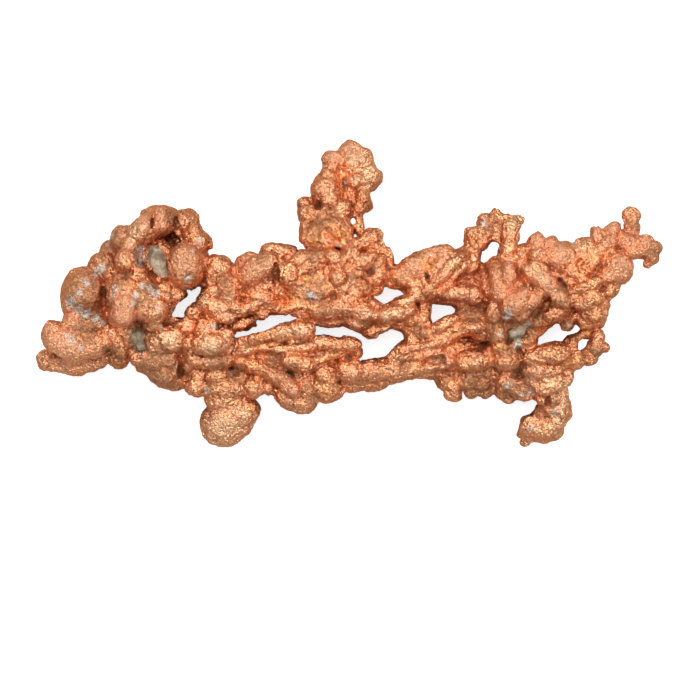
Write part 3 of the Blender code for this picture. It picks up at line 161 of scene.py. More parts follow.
# Name, place, width and power of each light.
LIGHTS = [
    ("overhead light", (-0.1, 0.15, 1.2), 0.5, 7.8), ("key light", (-0.4, 0.7, 0.9), 0.5, 8.6),
    ("side light", (0.75, 0.25, 0.75), 0.4, 5.4), ("low light", (0.1, -0.8, 0.8), 0.45, 2.5),
]
LIGHTS_AIM = (0.0, 0.0, 0.008)
SKY_STRENGTH = 0.18
FLOOR_WIDTH = 3.0
FLOOR_UNDER_LIGHT = (0.46, 0.43, 0.41)  # what the metal mirrors
FLOOR_IN_VIEW = (0.55, 0.55, 0.55)  # what the camera sees
FLOOR_GLOW_IN_VIEW = (0.78, 0.78, 0.78)
BLACK = (0.0, 0.0, 0.0)
CAMERA_PLACE = (0.00014, -0.00798, 0.608)
CAMERA_REACH = 0.6  # down to the nugget's middle
VIEW_WIDTH = 0.098
FILM_WIDTH = 36.0  # millimetres

# Every lump is: centre x, y, z, half length, half width, half height, and heading about Z in degrees.
# All are in millimetres from the nugget's middle, and z is from the table.
LEFT_CLUSTER = [
    # the thick heart of the cluster
    (-36.5, 0.0, 8.5, 2.9, 3.1, 5.0, 0), (-30.5, 0.0, 8.5, 4.2, 4.4, 5.6, 0),
    (-26.3, -6.3, 8.0, 3.4, 3.0, 4.0, 0), (-37.8, -6.6, 7.2, 3.6, 2.4, 3.2, 0),
    (-31.5, -5.5, 8.0, 3.2, 3.0, 3.6, 0), (-22.3, 4.5, 9.3, 2.3, 3.2, 4.0, 0),
    # the ring round the pale grain
    (-31.4, 7.2, 9.6, 1.8, 2.3, 3.4, 20), (-31.0, 4.4, 13.6, 1.4, 1.6, 1.6, 0),
    (-30.6, 6.3, 12.9, 1.0, 1.6, 1.5, 0), (-28.7, 8.9, 13.2, 2.1, 1.7, 2.2, 40),
    (-27.9, 9.9, 10.4, 2.2, 1.4, 3.0, 40), (-26.0, 10.2, 12.4, 1.5, 1.9, 2.6, 0),
    (-26.4, 11.0, 9.4, 2.6, 1.3, 2.6, -5), (-23.2, 9.9, 11.6, 1.3, 1.7, 2.8, 0),
    (-22.0, 9.9, 11.0, 1.0, 1.8, 2.5, 15), (-20.9, 8.3, 10.0, 2.4, 0.7, 1.6, -50),
    (-21.5, 7.3, 11.0, 1.8, 1.5, 2.2, -40), (-22.8, 3.9, 14.0, 2.45, 2.9, 2.6, 0),
    (-22.8, 4.6, 15.0, 1.9, 1.8, 1.9, 0), (-22.6, 2.2, 13.0, 2.0, 1.4, 2.1, 0),
    (-22.0, 1.6, 13.6, 0.8, 0.7, 1.2, 0), (-29.4, 2.7, 13.2, 1.3, 0.9, 1.4, -10),
    (-27.8, 2.2, 13.0, 1.4, 0.8, 1.3, -30), (-26.0, 1.0, 12.2, 1.8, 1.0, 1.5, -35),
    (-24.2, 0.0, 11.2, 1.9, 0.9, 1.8, -22), (-26.7, 4.8, 8.0, 2.6, 3.4, 2.4, 0),
    # the round knob at the left and its neighbours
    (-37.1, 0.3, 10.4, 2.85, 3.2, 3.6, 0), (-37.0, 0.4, 12.6, 2.3, 2.4, 2.1, 0),
    (-38.7, -1.3, 10.3, 1.4, 2.1, 2.4, 0), (-34.4, 4.1, 9.3, 1.9, 1.6, 2.6, 30),
    (-33.4, 3.2, 11.0, 1.1, 1.0, 1.4, 0),
    # the lumps in the middle of the cluster
    (-31.2, 0.7, 13.3, 2.2, 1.8, 2.0, 10), (-29.4, -0.6, 13.0, 2.0, 2.3, 1.9, 0),
    (-31.2, -1.6, 14.0, 1.8, 2.0, 2.0, 0), (-31.5, -3.1, 14.1, 1.8, 1.5, 1.8, 10),
    (-32.9, -0.4, 12.6, 0.9, 2.4, 1.6, 10), (-27.6, -1.9, 12.7, 2.5, 2.1, 2.2, -20),
    (-26.3, -0.9, 12.2, 1.5, 1.0, 1.4, -40), (-27.4, -4.2, 12.1, 1.1, 0.9, 1.2, 0),
    # the rough shelf, and the smooth bowl below it
    (-37.5, -4.3, 10.8, 2.5, 1.6, 2.0, 0), (-35.3, -4.0, 10.5, 1.6, 1.4, 1.8, 0),
    (-39.1, -3.6, 9.8, 0.8, 1.3, 1.8, 0), (-38.6, -7.0, 11.0, 3.3, 2.6, 2.3, 5),
    (-36.0, -7.0, 10.8, 2.5, 2.0, 2.1, 15), (-41.2, -6.1, 10.8, 1.6, 1.9, 1.9, 0),
    (-41.5, -5.1, 11.1, 1.1, 1.2, 1.4, 0),
    # the lower lip, ending in a small ball
    (-42.7, -9.3, 7.8, 1.1, 1.3, 1.3, 0), (-41.4, -10.0, 7.6, 1.6, 0.8, 1.1, -10),
    (-39.0, -10.3, 7.4, 2.2, 1.0, 1.5, -5), (-36.6, -9.9, 7.6, 2.2, 0.9, 1.4, 8),
    (-34.9, -9.5, 8.0, 1.5, 0.7, 1.2, 25), (-38.5, -9.2, 7.6, 3.2, 1.2, 1.6, 0),
    # the lumps round the dark grain, and the underside of the neck
    (-32.4, -7.0, 11.2, 2.1, 1.0, 1.5, -65), (-33.3, -5.6, 11.0, 0.9, 1.0, 1.2, 0),
    (-32.4, -9.2, 9.3, 1.2, 1.1, 1.6, 0), (-24.9, -6.2, 11.0, 2.0, 1.9, 1.9, 0),
    (-27.2, -7.2, 10.6, 1.3, 1.6, 1.6, 0), (-29.6, -9.0, 10.0, 1.2, 0.9, 1.2, -30),
    (-27.7, -9.3, 10.1, 2.0, 1.3, 1.7, -20), (-26.4, -11.1, 8.6, 2.4, 1.6, 2.6, -35),
    (-28.6, -9.9, 8.4, 1.5, 1.2, 2.0, -40), (-24.6, -12.2, 7.8, 1.4, 1.2, 2.0, -30),
    (-25.4, -9.0, 9.8, 1.1, 1.3, 1.4, 0),
]
MIDDLE_BODY = [
    # the heart of the beam
    (-18.0, -1.0, 8.3, 3.0, 3.2, 3.4, -40), (-12.5, 1.0, 8.3, 3.8, 3.0, 3.4, 10),
    (-5.5, 1.5, 8.3, 5.0, 4.2, 3.8, 0), (0.3, 1.7, 8.3, 2.9, 4.5, 3.6, 0),
    (1.6, -3.4, 8.2, 2.4, 1.7, 2.8, -10), (-19.5, -7.0, 7.8, 3.0, 3.2, 3.0, 0),
    # its left end
    (-18.4, 3.5, 10.0, 2.0, 1.7, 2.4, -25), (-19.3, 2.6, 10.5, 1.0, 1.6, 1.6, 0),
    (-17.8, 2.7, 11.0, 1.5, 0.7, 1.2, 50), (-19.7, -0.5, 10.6, 1.4, 1.9, 1.8, -30),
    (-18.2, -2.0, 10.9, 2.2, 1.4, 1.6, -20), (-16.9, 0.2, 10.9, 1.7, 2.2, 1.8, 0),
    (-15.7, -2.1, 11.2, 1.8, 1.0, 1.3, -15), (-17.6, -3.2, 11.2, 1.7, 0.8, 1.0, -15),
    (-21.7, -2.6, 9.8, 1.1, 1.0, 1.5, -40), (-22.5, -4.6, 9.6, 1.3, 1.1, 1.6, -20),
    # the oblong lump and the lobes behind it
    (-14.2, 4.1, 10.0, 1.8, 1.5, 2.0, 30), (-12.6, 3.5, 12.2, 3.1, 1.6, 1.7, 33),
    (-13.6, 1.6, 11.2, 1.4, 1.0, 1.2, 20), (-9.7, 6.0, 8.8, 2.5, 0.95, 1.6, -8),
    (-11.3, 6.0, 9.2, 1.1, 0.85, 1.4, 20), (-12.4, -0.5, 11.1, 1.9, 1.0, 1.2, -10),
    (-13.6, -1.9, 11.2, 1.0, 0.9, 1.0, 0), (-12.2, -2.6, 10.0, 1.1, 0.9, 1.2, 20),
    (-15.0, -4.2, 9.0, 2.0, 0.7, 1.5, 20), (-11.4, -1.3, 10.3, 1.4, 0.9, 1.2, 0),
    # the broad middle, its ridges and its furrow
    (-8.4, 2.6, 11.9, 1.6, 1.7, 1.7, 0), (-7.0, 1.3, 11.0, 1.6, 0.9, 1.2, 30),
    (-5.8, 3.6, 11.5, 2.6, 1.0, 1.4, 25), (-6.5, 4.9, 10.8, 1.8, 0.9, 1.4, 20),
    (-4.5, 5.2, 10.8, 1.6, 1.1, 1.5, 10), (-7.6, -1.7, 10.4, 2.6, 0.65, 1.2, 22),
    (-3.8, 0.2, 10.8, 2.4, 0.8, 1.2, 25), (-0.7, 0.7, 11.0, 1.5, 0.9, 1.2, 20),
    (-4.9, 1.9, 11.2, 1.5, 0.45, 0.8, 25), (-1.5, 2.3, 12.2, 1.1, 1.05, 1.1, 0),
    (-2.0, 5.0, 11.7, 1.7, 1.0, 1.4, -35), (-1.9, 3.8, 11.3, 0.8, 0.7, 1.0, 0),
    (0.2, 5.6, 11.0, 1.1, 1.3, 1.4, 0), (2.1, 4.4, 11.3, 2.0, 1.0, 1.5, 25),
    (1.0, 2.8, 11.0, 1.1, 0.8, 1.1, 0), (2.2, 0.9, 11.1, 1.0, 0.8, 1.1, -40),
    (4.0, 2.4, 10.2, 1.5, 0.9, 1.3, 40), (4.2, 4.3, 10.2, 1.0, 1.2, 1.3, 0),
    # the lower edge of the beam
    (-4.0, -2.3, 10.5, 2.4, 1.2, 1.5, -10), (-1.0, -1.9, 10.7, 2.0, 1.3, 1.5, 0),
    (-3.2, -3.8, 9.0, 2.6, 0.75, 1.6, -5), (0.8, -4.1, 9.4, 2.2, 0.75, 1.5, -15),
    (2.0, -2.6, 10.7, 1.7, 1.2, 1.4, -30), (3.1, -5.2, 8.4, 1.1, 1.0, 1.4, 0),
    (-6.8, -2.7, 9.4, 1.9, 0.55, 1.3, -15),
    # the small finger and the lobe at the foot of the upright arm
    (5.1, 5.8, 9.4, 0.75, 0.65, 0.8, 0), (5.7, 4.7, 9.2, 0.45, 1.3, 0.7, 10),
    (2.9, 7.6, 9.8, 1.9, 1.2, 1.5, 35), (1.2, 6.9, 10.0, 1.3, 0.9, 1.4, 15),
    (3.4, 6.0, 9.6, 1.7, 0.55, 1.0, 40),
    # the square lump over the lower lobe
    (-19.2, -7.0, 11.9, 2.6, 1.6, 1.7, 5), (-20.0, -4.9, 10.9, 1.6, 1.4, 1.5, 30),
    (-17.3, -5.6, 11.0, 1.3, 0.7, 1.2, 0), (-19.2, -9.5, 10.2, 2.3, 1.0, 1.6, 0),
    (-17.3, -9.3, 10.0, 1.3, 0.9, 1.4, 0), (-21.6, -9.2, 9.8, 1.2, 1.1, 1.6, 0),
    (-22.2, -7.4, 9.8, 0.9, 1.6, 1.6, 0),
]
UPRIGHT_ARM = [
    (-3.3, 9.5, 8.2, 3.1, 3.2, 3.0, 0), (-2.6, 14.0, 8.2, 2.2, 3.5, 2.7, 0),
    (0.2, 17.8, 8.2, 2.4, 2.7, 2.6, 0), (-4.9, 8.0, 10.2, 1.7, 1.9, 1.7, 0),
    (-2.6, 9.6, 10.8, 2.1, 0.8, 1.2, 10), (-3.6, 7.3, 10.4, 1.9, 0.8, 1.2, -10),
    (-1.4, 8.4, 10.6, 1.5, 0.7, 1.2, -30), (-6.0, 8.9, 9.4, 0.85, 1.9, 1.8, 0),
    (-0.6, 7.0, 9.8, 0.9, 1.0, 1.4, 0), (-6.1, 11.1, 9.6, 0.8, 1.2, 1.3, 0),
    (-5.2, 11.4, 10.0, 0.9, 0.9, 1.2, 0), (-6.2, 12.7, 9.4, 0.9, 0.9, 1.0, 0),
    (-3.3, 14.1, 10.6, 1.7, 2.0, 1.9, 0), (-2.9, 13.0, 11.0, 1.5, 1.1, 1.4, 0),
    (-3.0, 16.3, 10.0, 1.1, 1.5, 1.6, -15), (-4.4, 15.0, 9.4, 0.7, 1.9, 1.5, -12),
    (-2.2, 18.8, 10.3, 1.4, 1.35, 1.5, -20), (-2.6, 17.6, 9.6, 1.0, 0.9, 1.2, 0),
    (0.3, 19.9, 9.9, 1.65, 1.65, 1.8, 0), (0.5, 18.5, 10.6, 1.4, 1.6, 1.5, 0),
    (1.7, 18.8, 9.8, 1.6, 1.7, 1.8, -30), (1.4, 16.0, 10.4, 1.5, 1.0, 1.4, 10),
    (2.9, 16.5, 10.1, 1.4, 1.5, 1.5, -20), (3.9, 16.7, 8.8, 0.65, 1.0, 1.2, 25),
    (2.6, 15.2, 9.2, 1.4, 0.6, 1.1, 15), (2.9, 17.8, 9.0, 0.8, 0.8, 1.2, -40),
    (1.9, 13.2, 9.2, 0.85, 1.8, 1.6, 0), (1.4, 11.9, 9.2, 0.9, 0.7, 1.2, 30),
    (-0.5, 12.1, 10.6, 0.65, 1.0, 0.9, 0), (-1.7, 11.6, 10.2, 0.8, 1.2, 1.0, 0),
    (-1.0, 10.5, 10.4, 0.7, 0.6, 0.8, 0), (-0.4, 9.0, 10.2, 0.7, 1.1, 1.0, 20),
    (-3.8, 11.3, 10.0, 1.3, 0.9, 1.2, 0), (1.35, 9.7, 8.8, 0.5, 1.5, 0.6, 8),
    (1.0, 11.2, 9.0, 0.6, 0.5, 0.7, 0),
]
LOWER_LOBE = [
    (-21.4, -12.7, 8.8, 1.6, 1.7, 1.8, 0), (-21.0, -11.3, 8.8, 1.4, 1.1, 1.5, 0),
    (-17.8, -12.8, 8.8, 2.5, 2.3, 2.4, 0), (-18.6, -11.4, 9.6, 1.7, 1.3, 1.6, 0),
    (-18.0, -14.9, 8.8, 2.2, 1.5, 2.2, 0), (-16.2, -13.2, 9.4, 1.5, 1.4, 1.6, 0),
    (-17.7, -18.4, 8.6, 3.2, 3.05, 2.8, 10), (-15.3, -16.7, 8.8, 2.6, 1.9, 2.3, 20),
    (-15.4, -18.2, 8.7, 1.9, 1.7, 2.3, 40), (-15.7, -15.3, 8.6, 2.1, 1.2, 2.0, -30),
    (-17.4, -17.6, 10.1, 2.0, 1.7, 1.5, 0), (-13.5, -13.0, 9.4, 1.5, 1.6, 1.6, 0),
    (-13.6, -12.9, 10.5, 0.9, 0.9, 0.8, 0),
]
LOWER_SPEAR = [
    (-8.0, -8.5, 7.8, 6.8, 2.2, 2.0, -5), (-5.0, -12.0, 7.6, 3.6, 2.4, 2.0, -20),
    (-12.2, -6.0, 9.8, 2.8, 0.9, 1.5, 12), (-9.5, -5.4, 10.2, 2.0, 1.1, 1.5, 10),
    (-6.9, -5.0, 10.6, 2.1, 1.1, 1.3, -3), (-14.7, -6.8, 9.6, 1.3, 0.8, 1.2, 15),
    (-3.0, -7.0, 9.8, 2.6, 1.0, 1.3, -5), (-0.2, -7.1, 9.8, 1.9, 1.0, 1.3, 0),
    (-6.5, -7.5, 9.8, 2.4, 0.6, 1.1, 0), (-2.0, -8.5, 9.6, 3.6, 0.45, 0.9, 8),
    (1.0, -8.2, 9.4, 0.75, 0.7, 1.1, 0), (-10.8, -7.7, 9.8, 2.8, 0.55, 1.0, -4),
    (-14.2, -8.0, 9.6, 1.6, 0.6, 1.0, 5), (-7.1, -9.7, 10.4, 2.3, 1.2, 1.4, -10),
    (-4.0, -9.1, 9.8, 1.5, 0.55, 0.9, 10), (-13.2, -10.2, 9.6, 2.0, 1.0, 1.4, -20),
    (-10.9, -11.3, 9.6, 2.2, 0.9, 1.4, -30), (-8.6, -12.7, 10.2, 2.2, 1.0, 1.3, -48),
    (-7.3, -15.1, 8.4, 2.6, 1.5, 2.0, -5), (-9.2, -14.2, 8.4, 1.2, 1.5, 1.9, 20),
    (-5.9, -13.2, 8.2, 1.5, 2.3, 1.8, 0), (-6.6, -15.6, 9.0, 1.6, 1.0, 1.4, 0),
    (-3.4, -11.3, 9.4, 1.4, 1.3, 1.5, 0), (-3.0, -13.2, 9.0, 1.8, 1.8, 1.8, 20),
    (-4.2, -13.2, 9.6, 0.8, 1.0, 1.0, 0), (-2.6, -12.3, 9.8, 0.9, 1.0, 1.0, 0),
]
RIGHT_BEAM = [
    # the strands' hearts, which leave the two windows open
    (11.0, 3.0, 7.8, 4.4, 2.1, 2.4, 30), (8.1, -2.8, 7.7, 3.0, 1.3, 2.0, 0),
    (16.8, 0.8, 7.8, 2.4, 1.4, 2.0, 0), (5.5, -10.4, 7.8, 4.8, 1.3, 1.8, 3),
    (14.0, -8.4, 7.8, 6.0, 2.3, 2.4, 5),
    # the flat-faced wedge and its long ridges
    (9.0, 3.6, 9.6, 2.9, 1.6, 2.0, 25), (7.2, 2.3, 9.8, 1.9, 1.2, 1.5, -20),
    (8.8, 1.6, 9.6, 1.8, 0.8, 1.3, -15), (10.8, 5.0, 9.2, 2.3, 1.1, 1.7, 12),
    (13.0, 5.3, 9.4, 2.2, 1.4, 1.7, 0), (13.7, 3.2, 11.1, 3.6, 0.8, 1.2, 46),
    (12.2, 3.4, 10.4, 3.3, 0.8, 1.2, 46), (15.3, 4.7, 10.2, 1.7, 0.9, 1.3, 40),
    (11.3, 0.6, 10.2, 1.3, 1.1, 1.4, 0), (14.8, 2.5, 10.2, 2.8, 0.6, 1.1, 42),
    (17.3, 3.6, 9.2, 1.4, 0.7, 1.2, 30),
    # the lump beside the dark hollow, and the arch over the window
    (15.2, 0.1, 10.8, 2.2, 1.0, 1.4, 8), (17.5, -0.2, 11.0, 1.25, 1.2, 1.3, 0),
    (13.7, 0.0, 10.0, 1.2, 0.8, 1.2, 0), (10.0, -0.3, 9.6, 1.9, 0.8, 1.3, -15),
    (13.6, -0.8, 8.2, 4.0, 0.7, 1.2, -8), (17.0, -2.1, 8.0, 2.2, 0.9, 1.4, -10),
    # the lower strand of the window, with its striped flake
    (6.6, -2.7, 10.9, 3.0, 1.0, 1.4, 12), (7.6, -1.2, 10.2, 2.1, 0.7, 1.2, 20),
    (5.4, -3.6, 10.0, 1.5, 0.9, 1.2, 0), (8.6, -3.5, 9.2, 1.8, 1.1, 1.4, -10),
    (5.0, -4.6, 8.8, 1.2, 0.6, 1.2, 20), (9.4, -5.1, 8.4, 1.8, 1.2, 1.5, 0),
    (10.5, -3.9, 8.6, 0.8, 1.2, 1.5, 0),
    # the ridges of the lower beam, and the blunt end towards the spear
    (13.4, -4.3, 10.2, 2.2, 0.75, 1.2, 22), (11.0, -5.4, 9.6, 1.6, 0.9, 1.2, 10),
    (17.0, -4.7, 10.2, 2.1, 1.0, 1.4, 10), (14.6, -5.6, 10.0, 2.6, 0.7, 1.1, 12),
    (18.4, -5.5, 9.6, 1.1, 1.0, 1.3, 0), (8.3, -7.7, 9.8, 2.3, 0.8, 1.2, 15),
    (12.3, -6.9, 10.2, 2.9, 0.7, 1.2, 14), (7.2, -8.9, 9.6, 2.0, 0.8, 1.2, 5),
    (11.2, -8.6, 10.4, 2.6, 0.4, 0.8, 10), (11.5, -10.3, 10.2, 2.6, 0.45, 0.9, 6),
    (13.9, -9.3, 10.2, 0.5, 0.9, 1.0, 0), (8.8, -10.6, 9.6, 2.2, 0.9, 1.4, 8),
    (0.1, -10.8, 10.2, 2.1, 1.5, 1.7, -5), (3.6, -10.8, 9.6, 2.4, 1.4, 1.6, 0),
    (6.2, -10.5, 9.4, 1.8, 1.5, 1.6, 0), (1.2, -11.9, 8.8, 2.0, 0.8, 1.4, 0),
    (17.2, -9.4, 10.8, 2.4, 1.5, 1.7, 0), (19.3, -9.0, 10.2, 1.0, 1.3, 1.4, 0),
    # the stubs below
    (14.9, -11.0, 7.4, 1.1, 0.9, 1.2, 0), (14.2, -12.4, 8.4, 0.8, 2.1, 1.0, 15),
    (14.8, -14.1, 8.4, 0.85, 0.9, 1.0, 0), (16.6, -12.2, 8.2, 1.6, 1.1, 1.5, 0),
    (18.6, -12.3, 8.2, 1.4, 1.1, 1.5, 0), (17.3, -13.7, 8.0, 0.8, 0.8, 0.9, 0),
    (19.4, -13.9, 8.0, 0.9, 0.7, 0.9, 30),
]
RIGHT_HUB = [
    # the heart of the hub
    (23.5, -1.0, 8.3, 3.5, 4.5, 4.2, 0), (22.4, -7.5, 8.0, 2.8, 3.8, 3.4, 0),
    (31.0, 2.5, 8.3, 5.8, 3.4, 3.4, 15), (34.0, -1.5, 8.0, 2.2, 3.4, 2.8, 10),
    (28.2, -1.7, 8.2, 3.4, 2.2, 3.2, 0), (36.8, 4.0, 8.0, 2.3, 2.8, 2.6, 0),
    # the curled lump on its left
    (22.2, 2.6, 12.7, 1.1, 1.9, 1.9, 5), (20.7, 2.2, 12.0, 1.2, 2.4, 1.8, 8),
    (21.0, 0.2, 12.4, 1.1, 1.6, 1.6, 20), (23.3, -1.3, 13.2, 2.4, 1.7, 1.9, 25),
    (24.2, -0.2, 13.8, 1.5, 0.9, 1.5, 40), (26.0, -0.9, 13.3, 0.9, 1.5, 1.5, -35),
    (23.4, 1.2, 12.0, 1.1, 0.9, 1.3, -30), (22.8, -2.9, 12.2, 1.7, 0.9, 1.4, 10),
    (24.3, -2.9, 12.5, 1.3, 0.8, 1.3, 40), (20.2, 4.1, 10.8, 1.2, 0.9, 1.6, 40),
    # the slanting block and what is under it
    (27.3, 1.5, 13.4, 2.6, 1.3, 1.5, -43), (26.0, 3.1, 13.1, 1.6, 1.4, 1.4, -10),
    (25.1, 3.1, 13.0, 1.1, 1.1, 1.4, 0), (28.9, -0.4, 13.0, 1.3, 1.2, 1.4, -30),
    (29.5, -0.9, 12.8, 1.2, 0.9, 1.3, -45), (28.6, -2.6, 11.5, 2.0, 1.4, 1.6, 20),
    (27.2, -3.9, 10.8, 1.7, 0.9, 1.4, 15), (29.6, -1.0, 11.9, 1.5, 1.0, 1.4, 30),
    (30.4, -1.9, 12.0, 2.6, 0.35, 0.9, 48), (26.2, -5.2, 10.0, 1.2, 0.7, 1.2, 20),
    # the tarnished metal round the pale grain
    (20.4, -2.6, 10.8, 1.2, 2.0, 1.8, 0), (20.8, -5.4, 10.6, 1.4, 1.8, 1.7, 0),
    (21.3, -7.4, 10.6, 1.4, 1.2, 1.5, 0), (25.2, -6.6, 9.8, 1.1, 0.9, 1.3, 0),
    (22.0, -9.3, 11.1, 1.8, 1.3, 1.5, -5),
    # the fingers along the top edge
    (26.3, 6.6, 10.2, 1.1, 1.9, 1.3, -5), (26.3, 5.0, 10.8, 1.4, 1.2, 1.4, 0),
    (28.5, 6.6, 9.8, 1.0, 1.3, 1.3, 0), (30.3, 6.3, 9.8, 0.9, 1.0, 1.2, 0),
    (29.6, 4.9, 11.2, 2.3, 1.8, 1.8, 0), (32.7, 5.9, 10.4, 1.7, 1.9, 1.6, -30),
    (34.8, 7.8, 9.6, 0.7, 1.5, 1.0, -5), (36.9, 8.7, 9.6, 0.9, 1.4, 1.1, -25),
    (24.6, 5.9, 9.6, 0.9, 0.8, 1.2, 0), (35.4, 6.2, 10.8, 0.7, 2.0, 1.2, -30),
    (36.6, 6.8, 10.4, 0.65, 1.6, 1.1, -20), (34.2, 5.0, 11.0, 1.2, 1.4, 1.3, -30),
    # the right flank
    (37.5, 3.5, 10.8, 2.0, 2.1, 1.9, 0), (36.0, 2.3, 11.2, 1.5, 1.0, 1.3, 20),
    (38.2, 2.9, 9.6, 1.4, 1.3, 1.6, 0), (36.5, 0.6, 9.8, 1.0, 1.6, 1.5, -30),
    (31.2, 3.0, 11.2, 0.9, 1.0, 1.2, 0), (32.3, 2.3, 11.4, 0.9, 0.7, 1.0, 0),
    (33.2, 3.6, 11.2, 1.0, 0.9, 1.2, 0), (31.0, 0.6, 11.2, 0.8, 0.8, 1.0, 0),
    (33.2, 1.0, 11.8, 3.0, 0.8, 1.2, 22), (33.6, -0.9, 11.4, 2.2, 1.1, 1.4, 25),
    (34.2, -2.7, 10.6, 1.8, 1.5, 1.6, 0), (33.2, -3.8, 9.8, 1.2, 1.1, 1.4, 0),
    (35.2, -3.6, 9.0, 0.55, 0.9, 1.0, 0), (35.4, -1.6, 9.6, 0.9, 1.0, 1.2, 0),
    (30.5, -4.1, 9.6, 0.9, 1.0, 1.1, 20),
    # the small arch at the top left
    (16.2, 5.6, 9.4, 1.3, 0.9, 1.3, 30), (17.7, 6.6, 9.4, 1.1, 1.1, 1.3, 50),
    (17.5, 8.0, 9.6, 1.3, 1.3, 1.3, 0), (18.6, 7.4, 9.2, 0.9, 0.9, 1.1, 0),
    (19.1, 8.8, 9.4, 1.2, 1.0, 1.2, 45), (19.1, 10.3, 9.6, 1.0, 0.8, 1.0, 20),
    (20.5, 10.5, 9.4, 0.8, 1.0, 1.0, 0), (20.7, 11.3, 9.4, 0.55, 0.55, 0.7, 0),
    (20.9, 9.0, 8.8, 1.0, 1.3, 1.0, 0), (22.0, 10.6, 9.4, 0.9, 0.6, 0.8, 0),
    (23.6, 10.3, 9.4, 0.75, 0.55, 0.8, -10), (22.7, 9.4, 9.8, 1.2, 1.0, 1.2, 0),
    (22.7, 8.0, 9.6, 1.1, 1.3, 1.2, -5), (22.4, 6.2, 9.8, 1.1, 1.5, 1.3, -5),
    (17.6, 5.2, 9.2, 0.9, 0.7, 1.1, 0),
    # the arm at the far right, with its knob and hook
    (39.6, 11.0, 9.4, 1.15, 1.0, 1.15, 0), (39.7, 9.3, 9.2, 0.9, 1.3, 0.95, 0),
    (39.0, 7.1, 9.6, 1.2, 1.2, 1.2, 30), (39.7, 5.9, 9.4, 1.4, 0.8, 1.1, -15),
    (41.5, 7.0, 9.4, 1.4, 1.1, 1.1, -10), (42.9, 6.4, 9.0, 0.9, 0.9, 1.0, 0),
    (42.5, 5.1, 8.8, 0.8, 0.8, 0.9, 20), (41.8, 4.1, 8.6, 0.5, 0.45, 0.6, 30),
    (41.2, 5.9, 9.2, 0.9, 0.7, 1.0, 0),
    # the tarnished wedge under the hub
    (23.6, -13.0, 9.4, 2.6, 1.4, 1.7, -38), (20.3, -12.3, 7.6, 0.9, 1.3, 1.2, 0),
    (22.0, -12.3, 9.6, 1.2, 1.3, 1.5, 0), (24.5, -14.0, 8.6, 1.2, 1.0, 1.3, 0),
    (22.6, -14.5, 8.4, 1.0, 0.9, 1.2, 0),
]
RIGHT_FOOT = [
    (27.9, -10.5, 7.9, 2.9, 3.3, 2.8, 0), (29.0, -15.5, 7.6, 1.6, 3.0, 1.8, 0),
    (28.3, -8.4, 11.3, 2.6, 1.3, 1.6, 5), (25.8, -8.9, 10.8, 1.6, 1.1, 1.4, 10),
    (30.0, -9.2, 10.0, 1.2, 1.2, 1.5, 0), (27.0, -10.8, 10.6, 2.7, 1.0, 1.4, 5),
    (28.2, -12.6, 10.4, 2.3, 1.5, 1.5, 10), (25.7, -12.0, 9.8, 1.4, 1.3, 1.4, -40),
    (28.0, -14.6, 9.6, 1.6, 1.3, 1.5, 0), (30.6, -11.8, 9.2, 0.75, 1.1, 1.2, 0),
    (29.9, -15.0, 8.8, 0.8, 3.3, 1.4, 2), (28.8, -15.8, 9.0, 1.5, 1.4, 1.5, 0),
    # the toe, with two small tips
    (29.3, -17.4, 8.8, 1.5, 1.7, 1.6, 0), (27.8, -18.6, 8.8, 2.3, 1.6, 1.6, 15),
    (25.8, -18.6, 8.6, 1.4, 1.3, 1.4, 0), (29.3, -19.2, 8.4, 1.0, 1.0, 1.2, 0),
    (27.4, -20.2, 8.2, 2.2, 0.6, 1.1, -2), (24.5, -19.8, 8.2, 0.5, 0.4, 0.5, 0),
    (24.9, -21.0, 8.2, 0.55, 0.4, 0.5, -10), (25.7, -20.4, 8.2, 0.9, 0.5, 0.8, 10),
    # the fork that loops back to the hub
    (31.8, -9.0, 9.4, 1.1, 1.4, 1.3, 0), (33.8, -9.1, 8.6, 1.1, 0.65, 1.0, 15),
    (34.6, -7.6, 8.8, 1.1, 1.1, 1.2, 0), (35.9, -7.5, 8.6, 0.7, 0.55, 0.8, 0),
    (34.9, -6.0, 8.6, 0.7, 0.9, 1.0, 20), (31.3, -6.5, 7.8, 1.4, 0.6, 0.8, 30),
    (33.2, -5.5, 8.0, 1.4, 0.6, 0.8, 25), (30.9, -10.4, 8.8, 0.8, 0.7, 1.1, 30),
]
